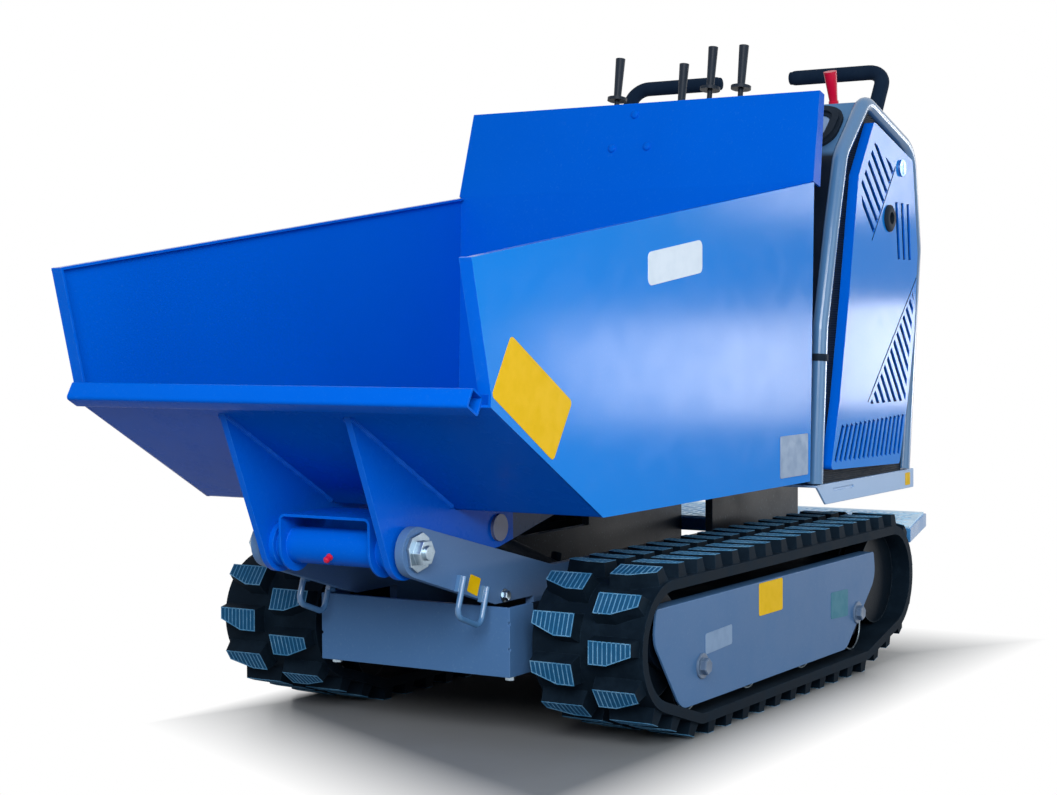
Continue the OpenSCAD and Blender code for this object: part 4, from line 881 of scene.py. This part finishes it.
def make_floor():
    """Floor that takes the shadow near the machine and is plain white further off."""
    half_size, drop, slant = 30.0, 0.001, 0.48
    bm = bmesh.new()
    bm.faces.new([bm.verts.new((x * half_size, y * half_size, -drop))
                  for x, y in ((-1, -1), (1, -1), (1, 1), (-1, 1))])
    mesh = bpy.data.meshes.new("floor")
    bm.to_mesh(mesh)
    bm.free()
    floor = bpy.data.objects.new("floor", mesh)
    bpy.context.scene.collection.objects.link(floor)
    f = Finish("floor_pale")
    f.set(Base_Color=f.blend(f.span(f.noise(0.8), 0.3, 0.7), (0.235, 0.245, 0.26), (0.255, 0.265, 0.28)),
          Roughness=f.span(f.noise(6.0), 0.3, 0.7, 0.32, 0.40), Specular_IOR_Level=0.4)
    ahead = f.math("SUBTRACT", f.axis("X"), f.math("MULTIPLY", f.axis("Y"), slant))
    front, rear, left, right = (0.56, 0.84), (-0.55, -0.85), (0.36, 0.54), (-0.33, -0.41)
    ends = f.math("MAXIMUM", f.span(ahead, *front), f.span(f.axis("X"), *rear))
    sides = f.math("MAXIMUM", f.span(f.axis("Y"), *left), f.span(f.axis("Y"), *right))
    far = f.math("MAXIMUM", ends, sides)
    path = f.tree.nodes.new("ShaderNodeLightPath").outputs
    seen = f.math("MAXIMUM", f.math("MAXIMUM", path["Is Camera Ray"], path["Is Glossy Ray"]),
                  path["Is Transmission Ray"])
    white = f.node("ShaderNodeEmission", Color=(1.0, 1.0, 1.0, 1.0), Strength=1.0)
    mix = f.node("ShaderNodeMixShader", Fac=f.math("MULTIPLY", far, seen))
    f.tree.links.new(f.shader.outputs[0], mix.inputs[1])
    f.tree.links.new(white.outputs[0], mix.inputs[2])
    f.tree.links.new(mix.outputs[0], f.tree.nodes["Material Output"].inputs["Surface"])
    mesh.materials.append(f.material)


def make_world(ambient, colour):
    """Soft light from all round, seen as plain white by the camera and in gloss and glass."""
    world = bpy.data.worlds.new("studio")
    bpy.context.scene.world = world
    world.use_nodes = True
    tree = world.node_tree
    tree.nodes.clear()
    add, link = tree.nodes.new, tree.links.new
    path = add("ShaderNodeLightPath")
    direct, seen = add("ShaderNodeMath"), add("ShaderNodeMath")
    direct.operation = seen.operation = "MAXIMUM"
    light, white = add("ShaderNodeBackground"), add("ShaderNodeBackground")
    light.inputs["Color"].default_value = (*colour, 1.0)
    light.inputs["Strength"].default_value = ambient
    white.inputs["Color"].default_value = (1.0, 1.0, 1.0, 1.0)
    white.inputs["Strength"].default_value = 1.0
    mix, out = add("ShaderNodeMixShader"), add("ShaderNodeOutputWorld")
    link(path.outputs["Is Camera Ray"], direct.inputs[0])
    link(path.outputs["Is Glossy Ray"], direct.inputs[1])
    link(direct.outputs[0], seen.inputs[0])
    link(path.outputs["Is Transmission Ray"], seen.inputs[1])
    link(seen.outputs[0], mix.inputs[0])
    link(light.outputs[0], mix.inputs[1])
    link(white.outputs[0], mix.inputs[2])
    link(mix.outputs[0], out.inputs["Surface"])


def make_lamp(name, position, target, size, power, colour=(1.0, 1.0, 1.0)):
    lamp = bpy.data.lights.new(name, "AREA")
    lamp.shape = "RECTANGLE"
    lamp.size, lamp.size_y = size
    lamp.energy = power
    lamp.color = colour
    holder = bpy.data.objects.new(name, lamp)
    bpy.context.scene.collection.objects.link(holder)
    holder.matrix_world = frame_at(position, Vector(position) - Vector(target))


def make_camera(position, yaw, pitch, roll, lens):
    """The photograph's camera, solved from the machine's own edges; angles are in degrees."""
    yaw, pitch, roll = (math.radians(a) for a in (yaw, pitch, roll))
    ahead = Vector((-math.cos(yaw) * math.cos(pitch), -math.sin(yaw) * math.cos(pitch), -math.sin(pitch)))
    right = Vector((-math.sin(yaw), math.cos(yaw), 0))
    up = right.cross(ahead)
    right, up = (right * math.cos(roll) + up * math.sin(roll), up * math.cos(roll) - right * math.sin(roll))
    camera = bpy.data.cameras.new("photo_camera")
    camera.lens, camera.sensor_width = lens, 36.0
    camera.clip_start, camera.clip_end = 0.05, 200.0
    holder = bpy.data.objects.new("photo_camera", camera)
    bpy.context.scene.collection.objects.link(holder)
    view = Matrix((right, up, -ahead)).transposed().to_4x4()
    view.translation = position
    holder.matrix_world = view
    bpy.context.scene.camera = holder


make_floor()
make_world(0.38, (0.90, 0.97, 1.0))
make_lamp("key", (3.4, 1.9, 2.0), (0.1, 0.0, 0.5), (2.4, 1.6), 140.0)
make_lamp("side_strip", (-4.43, 2.84, 0.42), (0.25, 0.352, 0.5), (1.10, 0.40), 24.0)
make_lamp("panel_strip", (-4.73, 2.04, 0.48), (-0.45, 0.365, 0.6), (0.44, 0.42), 7.5)
make_lamp("high_strip", (-4.62, 2.25, 1.29), (-0.3, 0.365, 0.9), (0.80, 0.48), 11.0)
make_lamp("left_fill", (0.6, 3.8, 1.4), (0.2, 0.3, 0.5), (2.8, 1.6), 24.0, (0.80, 1.0, 1.0))
make_camera((2.889, 1.6668, 0.608), yaw=31.61, pitch=2.12, roll=-0.27, lens=67.14)
bpy.context.scene.view_settings.view_transform = "Standard"
